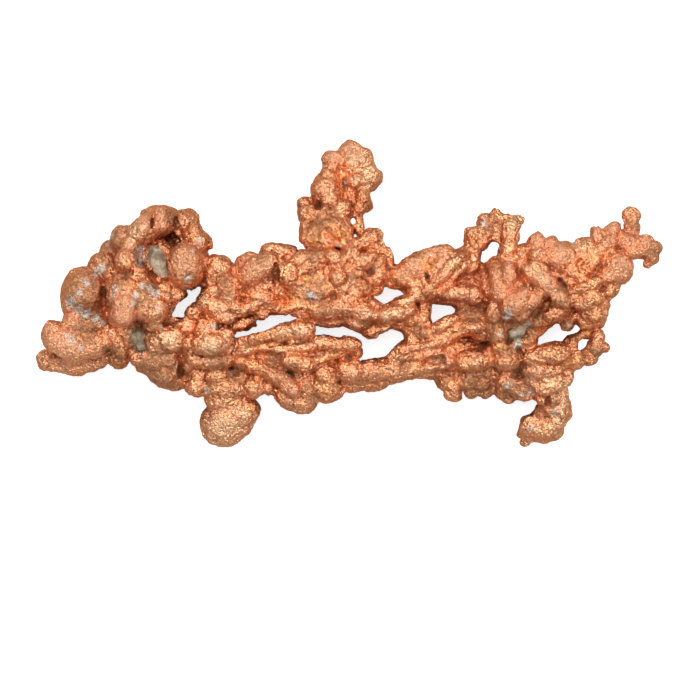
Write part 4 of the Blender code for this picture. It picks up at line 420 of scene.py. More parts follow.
WEBS = [
    # low metal that fills the nooks between the lumps, so that only the true windows stay open
    (-25.4, -2.4, 9.6, 1.3, 1.2, 1.8, 0), (-24.1, -1.1, 9.8, 0.8, 0.9, 1.4, 0),
    (-24.2, -4.4, 9.4, 1.1, 0.9, 1.6, 0), (-20.4, 1.2, 9.6, 0.8, 1.3, 1.5, 0),
    (-24.4, -10.3, 8.4, 1.3, 1.8, 2.0, 0), (-22.5, -9.8, 8.6, 1.2, 1.3, 1.8, 0),
    (-29.2, 4.8, 8.0, 1.4, 2.6, 2.2, 0), (-24.8, 1.8, 8.4, 1.2, 1.2, 1.8, 0),
    (-33.8, -8.6, 8.2, 1.2, 1.0, 1.6, 0), (-15.9, 2.4, 8.6, 1.3, 1.4, 2.2, 0),
    (-10.0, -1.9, 8.8, 2.2, 0.8, 1.8, 5), (-14.8, -7.7, 8.4, 1.3, 1.5, 1.8, 0),
    (-15.0, -9.6, 8.2, 1.4, 1.3, 1.8, 0), (-16.9, -7.6, 8.4, 1.0, 2.2, 1.8, 0),
    (-9.7, 4.4, 8.6, 1.0, 1.2, 1.8, 0), (-1.8, -13.6, 8.2, 0.9, 1.0, 1.4, 0),
    (0.6, -12.5, 8.0, 1.8, 1.2, 1.4, 0), (3.4, -12.4, 8.2, 2.3, 1.2, 1.5, 5),
    (6.1, -11.9, 8.2, 2.0, 0.7, 1.4, 5), (11.0, -11.2, 8.2, 3.0, 0.6, 1.4, 0),
    (13.3, -12.1, 8.2, 0.9, 1.3, 1.3, 15), (19.6, -10.9, 8.6, 1.0, 1.1, 1.5, 0),
    (21.7, -11.1, 8.6, 1.1, 1.5, 1.7, 0), (21.6, -13.4, 8.4, 0.9, 1.4, 1.4, 0),
    (3.7, 0.9, 9.0, 1.0, 0.9, 1.4, 0), (3.1, -1.7, 9.2, 1.1, 0.9, 1.5, 0),
    (6.6, 1.6, 9.0, 1.6, 0.8, 1.4, -10), (6.0, -1.9, 8.8, 1.8, 0.6, 1.4, 15),
    (4.8, -2.5, 8.8, 0.9, 0.9, 1.4, 0), (7.2, -4.4, 8.6, 2.0, 0.6, 1.3, -5),
    (8.8, -6.1, 8.6, 0.8, 1.2, 1.4, 0), (7.6, -7.6, 8.6, 1.2, 0.8, 1.3, 30),
    (4.8, -9.7, 8.6, 1.6, 0.6, 1.2, 20), (10.5, -2.4, 8.6, 0.9, 1.6, 1.6, 0),
    (15.8, -3.2, 8.4, 1.6, 0.7, 1.5, 8), (18.0, -3.2, 8.6, 1.7, 1.0, 1.6, 0),
    (19.5, 1.4, 8.4, 1.3, 2.6, 1.8, 0), (19.3, -2.0, 8.2, 1.3, 1.8, 1.6, 0),
    (21.8, 6.0, 9.2, 0.7, 1.3, 1.1, 0), (20.6, 7.9, 8.8, 1.6, 0.6, 0.9, 0),
    (21.5, 4.4, 9.2, 1.2, 0.8, 1.4, 0), (18.2, 3.6, 8.8, 0.9, 0.6, 1.2, 0),
    (24.0, 4.3, 9.0, 1.3, 1.3, 1.8, 0), (32.0, -3.2, 8.8, 1.4, 0.9, 1.6, 0),
    (28.9, -7.5, 9.2, 1.9, 0.6, 1.3, 0), (31.6, -6.8, 8.2, 0.9, 0.6, 1.0, 20),
    (33.6, -7.7, 8.4, 0.6, 0.8, 0.9, 0), (27.3, -16.6, 8.2, 0.9, 1.2, 1.3, 0),
    (25.4, -18.0, 8.4, 1.0, 0.8, 1.2, 0), (25.3, -19.0, 8.4, 1.0, 1.0, 1.2, 0),
    (26.7, -13.8, 8.6, 0.9, 1.2, 1.3, 0), (0.3, 13.6, 8.4, 1.0, 1.6, 1.6, 0),
    (0.2, 6.6, 8.6, 1.2, 0.8, 1.6, 0), (22.3, -10.4, 8.2, 1.6, 1.2, 1.8, 0),
    (-11.3, -13.0, 8.4, 0.9, 1.0, 1.3, 0), (38.0, 7.8, 9.0, 0.9, 1.0, 1.2, 0),
    (36.2, 8.2, 9.0, 0.8, 1.0, 1.1, 0), (16.6, 2.2, 7.8, 2.2, 1.2, 1.8, 0),
    (-19.4, -4.3, 8.0, 2.0, 1.4, 2.0, 0), (-7.0, -6.3, 8.4, 2.4, 1.0, 1.5, 0),
    (17.4, -11.0, 8.2, 1.8, 0.9, 1.5, 0), (15.0, -4.0, 8.0, 1.6, 0.9, 1.5, 0),
    (-15.4, -11.8, 8.2, 1.4, 1.0, 1.6, 0), (-33.6, 5.8, 8.2, 1.2, 1.6, 2.0, 0),
    (-24.3, 1.2, 8.4, 1.3, 1.0, 1.8, 0), (0.2, 10.0, 8.4, 0.5, 1.0, 1.2, 0),
]
BRANCHES = {
    "left_cluster": LEFT_CLUSTER,
    "middle_body": MIDDLE_BODY,
    "upright_arm": UPRIGHT_ARM,
    "lower_lobe": LOWER_LOBE,
    "lower_spear": LOWER_SPEAR,
    "right_beam": RIGHT_BEAM,
    "right_hub": RIGHT_HUB,
    "right_foot": RIGHT_FOOT,
}

# Borders between the branches, seen from above. Where two branches share metal, a border is a fork,
# and elsewhere it runs through open air, outside the nugget or through one of its windows.
CLUSTER_TO_BODY = [(-18.6, 6.4), (-20.0, 4.9), (-20.9, 2.6), (-21.4, 0.2), (-23.1, -2.4), (-23.2, -6.0),
                   (-23.3, -10.7)]
BODY_TO_LOBE = [(-23.3, -10.7), (-19.5, -10.9), (-16.3, -10.6)]
BODY_TO_SPEAR = [(-16.3, -10.6), (-16.0, -7.4), (-15.2, -6.1), (-13.4, -4.8), (-9.2, -3.35), (-6.6, -3.6),
                 (-5.2, -4.25), (-3.6, -5.4), (1.2, -5.7), (2.2, -7.0)]
BODY_TO_BEAM = [(2.2, -7.0), (4.0, -7.2), (4.8, -6.6), (4.2, -4.6), (4.1, -2.6), (4.6, -0.8), (5.2, 0.3),
                (5.5, 2.2), (5.9, 3.6), (6.2, 6.8), (7.0, 12.0)]
BODY_TO_ARM = [(7.0, 12.0), (2.3, 9.4), (1.3, 8.55), (0.6, 8.6), (0.4, 7.4), (-0.4, 5.8), (-3.6, 6.3),
               (-6.6, 6.5), (-8.6, 7.6)]
LOBE_TO_SPEAR = [(-16.3, -10.6), (-14.6, -11.2), (-12.3, -12.3), (-11.6, -15.6), (-11.6, -30.0)]
SPEAR_TO_BEAM = [(2.2, -7.0), (3.0, -8.3), (1.4, -9.1), (-1.6, -9.3), (-1.9, -11.0), (-1.2, -12.6),
                 (-1.0, -30.0)]
BEAM_TO_HUB = [(20.6, -15.8), (20.9, -11.4), (20.1, -9.8), (19.5, -6.6), (19.4, -2.0), (19.2, 2.6),
               (19.4, 5.0), (17.3, 4.3), (15.9, 4.9), (14.6, 7.4), (12.0, 12.0)]
HUB_TO_FOOT = [(20.6, -17.0), (22.0, -17.0), (26.4, -15.4), (25.3, -12.8), (23.9, -10.6), (24.0, -8.4),
               (25.6, -7.2), (27.0, -6.2), (29.4, -5.9), (31.4, -5.25), (33.4, -5.05), (36.8, -4.9),
               (60.0, -4.9)]


def joined(*stretches):
    """One closed border from stretches that start where the last one ends, with no point twice."""
    border = []
    for stretch in stretches:
        border += [point for point in stretch if point not in border]
    return border


# Each branch's own ground, with the borders round it.
TERRITORIES = {
    "left_cluster": joined(CLUSTER_TO_BODY, [(-23.5, -30.0), (-60.0, -30.0), (-60.0, 30.0), (-16.0, 30.0)]),
    "middle_body": joined(CLUSTER_TO_BODY, BODY_TO_LOBE, BODY_TO_SPEAR, BODY_TO_BEAM, BODY_TO_ARM,
                          [(-16.0, 30.0)]),
    "upright_arm": joined(BODY_TO_ARM[::-1], [(12.0, 30.0), (-16.0, 30.0)]),
    "lower_lobe": joined(BODY_TO_LOBE, LOBE_TO_SPEAR, [(-23.5, -30.0)]),
    "lower_spear": joined(BODY_TO_SPEAR, SPEAR_TO_BEAM, LOBE_TO_SPEAR[::-1]),
    "right_beam": joined(BODY_TO_BEAM[::-1], SPEAR_TO_BEAM, [(20.6, -30.0)], BEAM_TO_HUB),
    "right_hub": joined(BEAM_TO_HUB[::-1], HUB_TO_FOOT, [(60.0, 30.0), (12.0, 30.0)]),
    "right_foot": joined(HUB_TO_FOOT[::-1], [(20.6, -30.0), (60.0, -30.0)]),
}

# Lumps on the underside. The nugget rests on the flats worn on the first five.
BACK_LUMPS = [
    (-30.0, 1.0, 3.4, 4.6, 4.0, 4.0, 20), (27.0, 2.2, 3.2, 4.4, 3.2, 3.8, 15),
    (-17.6, -17.8, 2.7, 2.7, 2.7, 3.3, 10), (27.8, -18.0, 2.3, 2.3, 2.0, 2.9, 10),
    (0.1, 18.2, 2.3, 2.1, 2.4, 2.9, 0), (28.2, -11.8, 4.4, 2.5, 2.8, 2.4, 0),
    (-2.6, 12.0, 4.8, 2.1, 3.0, 2.2, 0),
    (-37.0, -4.0, 4.6, 2.6, 3.0, 2.2, 0), (-24.0, 6.0, 4.4, 2.6, 3.0, 2.6, 0),
    (-20.0, -7.0, 4.6, 2.6, 2.6, 2.2, 0), (-12.0, 1.0, 4.8, 3.2, 2.4, 2.0, 15),
    (-4.0, 0.8, 4.4, 3.6, 2.8, 2.2, -10), (1.2, 0.6, 4.8, 2.2, 3.4, 2.0, 0),
    (-7.4, -9.4, 5.4, 3.4, 1.8, 1.6, -15), (-5.6, -13.2, 5.6, 2.6, 1.8, 1.6, 0),
    (13.6, -8.6, 5.0, 4.2, 2.0, 2.0, 10), (10.8, 3.2, 5.4, 3.0, 1.6, 1.6, 35),
    (22.8, -3.0, 4.4, 2.8, 3.6, 2.4, 0), (35.6, 2.6, 5.2, 2.4, 2.4, 2.0, 0),
    (22.6, -9.4, 5.2, 2.0, 2.2, 1.8, 0), (-3.6, 8.4, 5.6, 2.4, 2.2, 1.8, 0),
    (-31.6, -6.6, 5.2, 2.6, 2.0, 1.8, 0), (33.6, -2.0, 5.4, 1.8, 2.4, 1.6, 0),
]

# Grains of country rock: the lumps they are made of.
GRAINS = {
    "pale_grain": [(-27.0, 5.2, 10.6, 1.1, 1.5, 1.5, 10), (-26.6, 4.2, 10.7, 1.1, 2.0, 1.5, 20),
                   (-26.0, 2.9, 10.5, 0.8, 1.7, 1.4, 22)],
    "dark_grain": [(-29.7, -5.9, 10.9, 1.35, 1.1, 1.3, 30), (-29.1, -7.3, 10.5, 1.15, 0.9, 1.2, 0)],
    "hub_grain": [(23.3, -5.5, 10.6, 1.2, 0.9, 1.4, 25), (24.1, -5.0, 10.4, 0.8, 0.9, 1.3, 0),
                  (23.6, -6.7, 10.2, 0.6, 0.6, 1.1, 0)],
}

# Hollows dug out of the metal, written like lumps.
HOLLOWS = [
    # the ring's hollow comes first, and then the crevices between the lumps
    (-26.7, 4.2, 14.0, 1.75, 2.9, 3.4, 0), (-25.5, 7.75, 12.8, 0.9, 0.8, 2.4, 0),
    (-34.2, -0.9, 13.4, 0.55, 2.1, 3.4, 0), (-27.4, 9.8, 14.4, 0.3, 1.7, 1.1, -14),
    (-23.9, 9.2, 13.3, 0.32, 1.6, 1.5, 10), (-40.3, -9.2, 12.0, 1.6, 0.3, 1.1, -35),
    (-36.9, -9.6, 12.2, 2.6, 0.3, 1.1, 18), (-29.5, -6.3, 13.2, 1.4, 1.6, 1.8, -20),
    (-23.6, -10.8, 10.4, 0.4, 1.5, 2.4, 0), (-10.2, 2.4, 12.4, 0.5, 2.0, 1.9, 0),
    (-15.9, -11.0, 10.6, 0.9, 0.6, 1.6, 0), (-4.3, 12.4, 12.2, 0.6, 0.7, 2.2, 0),
    (0.55, 10.3, 8.4, 0.26, 0.45, 9.0, 0), (0.8, 9.2, 11.2, 0.22, 1.1, 2.4, 8),
    (18.3, -7.4, 12.0, 1.1, 0.7, 2.2, 0), (11.9, -9.3, 12.0, 1.9, 0.6, 1.5, 5),
    (17.0, 2.5, 11.6, 1.5, 0.5, 1.8, 20), (25.9, -2.9, 13.4, 1.9, 0.5, 2.2, 50),
    (24.3, 2.1, 14.0, 0.5, 2.1, 2.3, 36), (27.6, -1.5, 13.3, 0.32, 1.2, 1.7, -25),
    (29.5, 1.6, 12.6, 0.35, 0.9, 1.8, 25), (29.9, 1.0, 12.6, 0.7, 0.3, 1.8, 10),
    (-22.8, -1.15, 8.2, 2.9, 0.72, 9.0, 47), (-8.4, -11.2, 11.6, 3.4, 0.45, 1.2, -38),
    (23.9, -8.2, 11.4, 0.35, 1.0, 1.5, 25), (22.5, -6.5, 11.6, 0.3, 0.8, 1.5, -30),
    (19.2, 4.9, 8.2, 0.8, 0.4, 9.0, 35), (10.9, 2.2, 12.0, 0.35, 1.0, 1.8, 20),
    (27.9, -15.5, 11.2, 0.4, 1.3, 1.4, 0), (-31.3, 2.6, 15.2, 1.6, 0.4, 1.4, 20),
    # the least of the windows, inside the small fork
    (32.8, -7.1, 8.2, 0.45, 1.0, 6.0, -35),
    # and the left end of the long one
    (-12.6, -4.95, 8.2, 3.5, 0.42, 9.0, 19), (-9.6, -3.5, 8.2, 1.6, 0.5, 9.0, 5),
]

# Places on the upper side, as x, y and reach in millimetres. Here the metal is worn smooth and painted
# paler: worn metal, with painted highlight on the lumps' lit tops.
SMOOTH_PLACES = [
    (-39.0, -7.2, 4.6), (-37.2, 0.6, 3.0), (-31.6, -2.4, 2.6), (-26.4, -11.0, 3.6), (-22.8, 4.0, 2.4),
    (-27.0, 10.4, 2.2), (-33.0, 6.6, 2.2), (-14.2, 3.4, 2.4), (-17.8, -18.0, 2.4), (0.3, 20.2, 1.9),
    (-2.2, 19.0, 1.5), (11.6, 5.6, 1.8), (9.0, 3.4, 1.6), (13.0, -1.6, 1.6), (16.6, -2.0, 1.6),
    (22.0, 1.6, 2.8), (24.4, -1.4, 2.6), (27.4, 1.4, 2.4), (28.8, 5.6, 2.6), (26.4, 7.4, 1.4),
    (36.6, 8.4, 2.4), (41.2, 7.4, 4.4), (-3.0, -3.8, 1.8), (1.0, -4.3, 1.6), (37.8, 3.6, 2.2),
    (24.0, -12.6, 2.6), (-10.0, -10.6, 1.6), (-7.6, -12.8, 1.6),
]
# Here it is brown or olive with tarnish.
TARNISHED_PLACES = [
    (-37.0, 0.2, 2.6), (-33.2, 7.4, 1.8), (-29.4, -6.3, 2.0), (-26.6, -10.6, 3.2), (-35.8, -3.2, 1.9),
    (-32.6, -8.6, 1.6), (-34.4, 3.6, 1.8), (-24.6, 10.6, 1.2), (20.6, -4.8, 2.4), (22.6, -7.2, 2.2),
    (24.6, -5.4, 2.0), (26.0, -3.4, 1.5), (-5.2, -0.3, 1.3), (-4.6, 9.6, 1.6), (23.9, -11.2, 1.6),
    (17.8, -13.2, 2.2), (30.6, -4.7, 1.2), (22.8, -13.6, 1.6), (22.4, -5.6, 2.4), (-8.6, -11.0, 1.4),
    (-17.0, 0.2, 1.2), (29.8, 0.6, 1.2), (-12.0, 4.6, 1.2), (-15.8, -11.0, 1.2), (34.6, -8.4, 1.4),
    (-24.4, -2.6, 0.9), (-4.0, -0.9, 1.3), (-3.2, -2.4, 1.0), (2.2, -4.2, 0.9), (-4.8, 5.2, 1.3),
    (24.6, -13.2, 1.3), (21.4, -3.4, 1.2), (-18.4, -9.6, 1.3), (-22.0, 2.0, 0.9), (12.4, -9.4, 1.1),
    (-4.8, 8.2, 1.2), (-4.6, 1.0, 1.6), (17.5, -3.0, 1.6), (20.0, 9.3, 1.5), (33.2, -8.2, 1.5),
    (31.8, -6.4, 1.0), (-28.4, -0.6, 1.7), (-31.4, 1.8, 1.4), (-36.6, -5.2, 2.0), (-24.6, -12.2, 1.6),
    (-15.5, -12.2, 1.5), (-10.5, -9.5, 1.4), (19.2, -13.8, 1.5), (7.6, -10.2, 1.3), (10.0, -5.4, 1.3),
    (39.8, 9.6, 1.3), (42.6, 5.8, 1.4), (-2.6, 11.0, 1.4), (0.4, 2.0, 1.1), (-17.4, 1.6, 1.2),
    (-5.6, -13.6, 1.2),
]
# Here the copper is painted brighter and paler: painted highlight where the metal catches the most light.
LIT_TOP_PLACES = [
    (5.0, -3.2, 2.2), (-7.6, -6.0, 2.4), (1.6, -5.2, 1.4), (-25.4, -4.0, 1.6), (-24.8, -7.4, 2.2),
    (-18.4, -7.6, 2.4), (-21.0, -1.6, 1.3), (-24.4, 7.8, 1.7), (-29.4, 8.4, 1.7), (2.0, 17.8, 2.6),
    (15.6, 4.2, 1.5), (21.6, 5.6, 1.2), (25.6, 1.6, 1.4), (31.4, -1.2, 1.6), (30.0, -13.8, 2.2),
    (29.6, -18.8, 1.6), (-17.4, -18.8, 2.6), (23.2, 9.4, 1.2), (-10.6, 3.0, 1.5), (8.6, -1.0, 1.8),
]
# Here golden glints are painted on: painted highlight.
GLINT_PLACES = [
    (-6.0, 1.9, 0.7), (-4.6, 2.2, 0.6), (-7.4, -1.4, 1.0), (-8.8, -1.9, 0.6), (-3.0, 1.4, 0.5),
    (-2.2, 0.4, 0.5), (-37.2, 1.8, 0.9), (-38.4, 0.4, 0.7), (26.6, -2.4, 0.7), (21.0, -7.2, 0.9),
    (-20.2, -14.6, 0.9), (-1.2, 8.2, 1.3), (-4.6, 7.6, 1.1), (11.2, 3.8, 1.1), (33.2, -5.0, 0.9),
]
# Here the bare hollows are painted deep red: painted reflection of copper in copper, in the hollows' shade.
RED_REFLECTION_PLACES = [
    (0.8, 13.4, 1.3), (18.2, -7.3, 1.7), (18.3, 2.8, 1.3), (16.2, 2.4, 1.2), (2.2, 1.4, 1.1),
    (-25.6, 7.8, 0.9), (10.6, -1.2, 1.2), (12.8, -1.5, 1.2), (15.2, -1.9, 1.2), (29.6, 1.4, 1.0),
    (27.2, -0.8, 0.8), (-3.6, -3.9, 1.4), (-0.8, -4.2, 1.4), (2.6, -5.6, 1.2), (-24.6, -3.6, 1.4),
    (-20.6, 0.6, 1.0), (29.4, -3.0, 1.6), (20.8, 3.6, 1.0), (-9.9, 2.2, 0.8), (6.6, -5.2, 1.0),
    (-4.6, 12.6, 1.0), (-5.4, 10.0, 0.8), (31.4, -0.2, 1.4), (12.6, -11.6, 1.2), (15.6, 5.4, 0.8),
]
# Here pale grey rock flour clings to it.
FLECKED_PLACES = [
    (-36.5, 1.4, 0.62), (-37.35, 0.0, 0.5), (-38.6, -1.4, 0.9), (-37.6, -2.4, 0.9), (-36.4, -3.0, 0.8),
    (-35.2, -3.6, 0.7), (-34.2, -4.2, 0.5), (-34.6, 3.2, 0.8), (-35.2, 2.4, 0.4), (-32.4, 0.6, 0.45),
    (-32.7, -0.4, 0.4), (-29.4, -0.4, 0.5), (-29.8, -1.6, 0.42), (-28.6, 1.0, 0.55), (-27.6, 0.5, 0.6),
    (-26.6, -0.2, 0.6), (-27.2, 0.0, 0.5), (-29.0, 6.0, 0.6), (-29.1, 5.0, 0.7), (-29.2, 4.0, 0.5),
    (-30.2, 6.7, 0.35), (-26.4, -2.2, 0.4), (-29.1, -7.8, 0.62), (-20.8, 7.1, 0.55), (-22.3, 1.9, 0.42),
    (-21.6, 5.8, 0.3), (-33.2, 8.0, 0.45), (-33.8, 6.8, 0.35), (-28.6, 12.0, 0.35), (-38.6, -6.6, 0.5),
    (-37.2, -7.6, 0.42), (-39.2, -5.9, 0.35), (-19.8, -13.6, 0.5), (-14.7, -16.9, 0.3),
    (-16.5, -11.3, 0.42), (-15.4, -10.9, 0.32), (-5.4, -0.2, 0.6), (-4.6, -0.6, 0.4), (-18.9, -4.7, 0.45),
    (18.9, 9.7, 0.5), (22.1, -2.8, 0.6), (22.0, -3.4, 0.5), (23.5, -7.2, 0.6), (24.9, -4.4, 0.45),
    (22.2, -12.8, 0.55), (28.8, -16.7, 0.5), (25.7, -18.9, 0.45), (26.3, -17.7, 0.35), (25.3, -13.9, 0.4),
    (24.2, -14.2, 0.35), (31.4, 7.0, 0.35), (26.2, 5.6, 0.3), (-0.3, 15.6, 0.3), (-6.5, 11.3, 0.3),
    (-1.6, 6.6, 0.3), (3.5, 3.3, 0.3), (21.0, -5.8, 0.4), (30.6, -4.6, 0.4), (-3.6, -6.0, 0.3),
    (24.0, 5.4, 0.3), (-26.2, -4.8, 0.3), (-30.6, -5.6, 0.35), (34.4, 4.2, 0.25),
]

# Each mark's places, how softly it ends at their edges, and the height below which it is left off.
PLACED_MARKS = {
    "tarnish": (TARNISHED_PLACES, 0.35, BACK_TOP),
    "glow": (RED_REFLECTION_PLACES, 0.6, BACK_TOP),
    "worn": (SMOOTH_PLACES, 0.4, BACK_TOP),
    "fresh": (LIT_TOP_PLACES, 0.6, BACK_TOP),
    "gilt": (GLINT_PLACES, 0.7, BACK_TOP),
    "fleck": (FLECKED_PLACES, 0.7, FLECK_BOTTOM),
}


def deselect():
    """Leave edit mode with nothing selected."""
    if bpy.context.object and bpy.context.object.mode != "OBJECT":
        bpy.ops.object.mode_set(mode="OBJECT")
    bpy.ops.object.select_all(action="DESELECT")


def take_up(thing):
    """Make this the one selected and active object."""
    deselect()
    thing.select_set(True)
    bpy.context.view_layer.objects.active = thing


def apply_modifier(thing, kind, **settings):
    """Give the thing a modifier with these settings, and apply it at once."""
    take_up(thing)
    step = thing.modifiers.new(kind.title(), kind)
    for key, value in settings.items():
        setattr(step, key, value)
    bpy.ops.object.modifier_apply(modifier=step.name)


def points_of(thing):
    """The thing's points, a row of x, y and z for each."""
    points = np.empty(len(thing.data.vertices) * 3)
    thing.data.vertices.foreach_get("co", points)
    return points.reshape(-1, 3)


def move_points(thing, points):
    """Put the thing's points at these places."""
    thing.data.vertices.foreach_set("co", points.ravel())
    thing.data.update()


def smooth_all_over(thing):
    """Shade every face smooth."""
    thing.data.polygons.foreach_set("use_smooth", [True] * len(thing.data.polygons))


# ---- lumps melted into a skin ----

def mirrored(lump, chance):
    """The lump that answers this one on the back, a little smaller and moved aside."""
    x, y, z, half_length, half_width, half_height, heading = lump
    aside = [chance.uniform(-BACK_SHIFT, BACK_SHIFT) for _ in range(2)]
    size = [part * BACK_SHRINK * chance.uniform(*BACK_WIDTH) for part in (half_length, half_width)]
    back_height = half_height * chance.uniform(*BACK_HEIGHT)
    depth = MIDDLE - (z - MIDDLE) * chance.uniform(*BACK_DEPTH)
    return (x + aside[0], y + aside[1], depth, size[0], size[1], back_height,
            heading + chance.uniform(-BACK_TURN, BACK_TURN))


def drooped(lumps):
    """The same lumps, let down towards the table the farther they are from the nugget's spine."""
    return [(x, y, z - DROOP * y * y, *rest) for x, y, z, *rest in lumps]


def all_lumps():
    """The lumps of the front, the webs between them and the lumps of the back."""
    chance = random.Random(BACK_SEED)
    front = [lump for lumps in BRANCHES.values() for lump in lumps]
    back = [mirrored(lump, chance) for lump in front if lump[2] > MIDDLE]
    return drooped(front + WEBS + back) + BACK_LUMPS


def melted_skin(name, lumps, step, swell=0.0):
    """One closed skin over lumps that melt into one another, in millimetres."""
    deselect()
    bpy.ops.object.metaball_add(type="ELLIPSOID", radius=1.0)
    thing = bpy.context.object
    crowd = thing.data
    crowd.threshold = THRESHOLD
    crowd.resolution = crowd.render_resolution = step
    reach = math.sqrt(1.0 - (crowd.threshold / STIFFNESS) ** (1.0 / 3.0))
    for number, (x, y, z, half_length, half_width, half_height, heading) in enumerate(lumps):
        ball = crowd.elements[0] if number == 0 else crowd.elements.new(type="ELLIPSOID")
        ball.co = (x, y, z)
        ball.radius = 1.0
        ball.stiffness = STIFFNESS
        ball.size_x = (half_length + swell) / reach
        ball.size_y = (half_width + swell) / reach
        ball.size_z = (half_height + swell) / reach
        ball.rotation = Euler((0.0, 0.0, math.radians(heading))).to_quaternion()
    bpy.context.view_layer.update()
    bpy.ops.object.convert(target="MESH")
    thing = bpy.context.object
    thing.name = thing.data.name = name
    return thing


def keep_outer_skin(thing):
    """Keep the skin that holds the leftmost point, and delete bubbles inside it and crumbs beside it."""
    take_up(thing)
    bpy.ops.object.mode_set(mode="EDIT")
    bpy.ops.mesh.select_all(action="DESELECT")
    bpy.ops.object.mode_set(mode="OBJECT")
    thing.data.vertices[int(points_of(thing)[:, 0].argmin())].select = True
    bpy.ops.object.mode_set(mode="EDIT")
    bpy.ops.mesh.select_linked()
    bpy.ops.mesh.select_all(action="INVERT")
    bpy.ops.mesh.delete(type="VERT")
    bpy.ops.object.mode_set(mode="OBJECT")


def fit_to_box(thing, low, high):
    """Stretch the thing to fill this box, given by two corners in metres."""
    points = points_of(thing)
    low, high = np.array(low) / MM, np.array(high) / MM
    own_low, own_high = points.min(axis=0), points.max(axis=0)
    points = (points - own_low) * (high - low) / (own_high - own_low) + low
    move_points(thing, points)


def widened(box, share):
    """The box made wider and longer by this share about its middle, and no taller."""
    low, high = np.array(box[0]), np.array(box[1])
    middle, half = (low + high) / 2.0, (high - low) / 2.0 * np.array([share, share, 1.0])
    return middle - half, middle + half


def bring_to_metres(thing):
    """From millimetres to metres, with the object itself at the origin and unscaled."""
    take_up(thing)
    thing.scale = (MM, MM, MM)
    bpy.ops.object.transform_apply(location=True, rotation=True, scale=True)


# ---- crust, worn feet and marks ----

def nearness(points, places, softness, bottom=BACK_TOP):
    """For each point above the bottom, 1 on one of the places and falling to 0 at its edge."""
    found = np.zeros(len(points))
    for x, y, reach in places:
        far = np.hypot(points[:, 0] - x, points[:, 1] - y) / reach
        found = np.maximum(found, np.clip((1.0 + softness - far) / (2.0 * softness), 0.0, 1.0))
    height = points[:, 2] + DROOP * points[:, 1] ** 2
    return found * np.clip((height - bottom) / MARK_FADE, 0.0, 1.0)


def wave_texture(number, kind, length):
    """The pattern of one of the crust's waves."""
    texture = bpy.data.textures.new(f"crust {number}", "MUSGRAVE" if kind == "RIDGES" else kind)
    texture.noise_scale = length
    if kind == "CLOUDS":
        texture.noise_depth = 1
    elif kind == "RIDGES":
        texture.musgrave_type = "RIDGED_MULTIFRACTAL"
        texture.octaves = 2.0
        texture.noise_intensity = 0.6
    return texture


def roughen(thing, depth):
    """Raise the crust: slow bulges, crumpled creases and small beads, less where the metal is worn."""
    tenths = np.rint(10 * (1.0 - WORN_EASE * nearness(points_of(thing), SMOOTH_PLACES, WORN_SOFTNESS)))
    crust = thing.vertex_groups.new(name="crust")
    for level in range(11):
        chosen = np.flatnonzero(tenths == level)
        if len(chosen):
            crust.add(chosen.tolist(), level / 10, "REPLACE")
    for number, (kind, length, reach, less_where_worn) in enumerate(CRUST_WAVES):
        apply_modifier(thing, "DISPLACE", texture=wave_texture(number, kind, length),
                       texture_coords="LOCAL", mid_level=0.5, strength=reach * depth,
                       vertex_group="crust" if less_where_worn else "")


def wear_flats(thing):
    """Cut the feet off level with the table, and close the cuts."""
    take_up(thing)
    bpy.ops.object.mode_set(mode="EDIT")
    bpy.ops.mesh.select_all(action="SELECT")
    bpy.ops.mesh.bisect(plane_co=(0.0, 0.0, FEET_HEIGHT), plane_no=(0.0, 0.0, 1.0), use_fill=True,
                        clear_inner=True, threshold=0.0001)
    bpy.ops.object.mode_set(mode="OBJECT")


def note(thing, name, values):
    """Keep a number for each point, for the materials to read."""
    layer = thing.data.attributes.new(name, "FLOAT", "POINT")
    layer.data.foreach_set("value", np.asarray(values, dtype=np.float32))


def depth_below(thing, rounds):
    """How far each point lies below the surface that so many rounds of smoothing give."""
    take_up(thing)
    bpy.ops.object.duplicate()
    smooth = bpy.context.object
    apply_modifier(smooth, "SMOOTH", factor=0.5, iterations=rounds)
    normals = np.empty(len(thing.data.vertices) * 3)
    thing.data.vertices.foreach_get("normal", normals)
    below = ((points_of(smooth) - points_of(thing)) * normals.reshape(-1, 3)).sum(axis=1)
    bpy.data.meshes.remove(smooth.data)
    return below


def crevice_reach(half_length, half_width):
    """How far the painted shade round a hollow reaches: a little past its narrow sides."""
    return 1.15 * min(half_length, half_width) + 0.15 * max(half_length, half_width)


def note_surface(thing):
    """Note how deep each point lies, and how near it is to the places with a finish of their own or with
    painted light and shade.
    """
    points = points_of(thing)
    sunk = depth_below(thing, BROAD_ROUNDS)
    note(thing, "hollow", sunk / HOLLOW_DEPTH)
    note(thing, "crease", depth_below(thing, CREASE_ROUNDS) / CREASE_DEPTH)
    for name, (places, softness, bottom) in PLACED_MARKS.items():
        note(thing, name, nearness(points, places, softness, bottom))
    crevices = [(x, y, crevice_reach(half_length, half_width))
                for x, y, _, half_length, half_width, _, _ in HOLLOWS[1:]]
    # painted shade: the deep parts near the hollows are noted for dark brown paint
    note(thing, "crevice",
         nearness(points, crevices, CREVICE_SOFTNESS, BACK_TOP) * np.clip(sunk / CREVICE_DEPTH, 0, 1))


def metal_skin(step, crust_depth):
    """The nugget's whole skin in millimetres, with its hollows, its crust and its worn feet."""
    metal = melted_skin("metal", all_lumps(), FIRST_STEP, SWELL)
    keep_outer_skin(metal)
    hollows = melted_skin("hollows", drooped(HOLLOWS), HOLLOW_STEP, HOLLOW_SWELL)
    apply_modifier(metal, "BOOLEAN", operation="DIFFERENCE", object=hollows, solver="MANIFOLD")
    bpy.data.meshes.remove(hollows.data)
    apply_modifier(metal, "REMESH", mode="VOXEL", voxel_size=step)
    roughen(metal, crust_depth)
    apply_modifier(metal, "SMOOTH", factor=0.25, iterations=1)
    keep_outer_skin(metal)
    wear_flats(metal)
    fit_to_box(metal, *SOLID_BOX)
    note_surface(metal)
    return metal


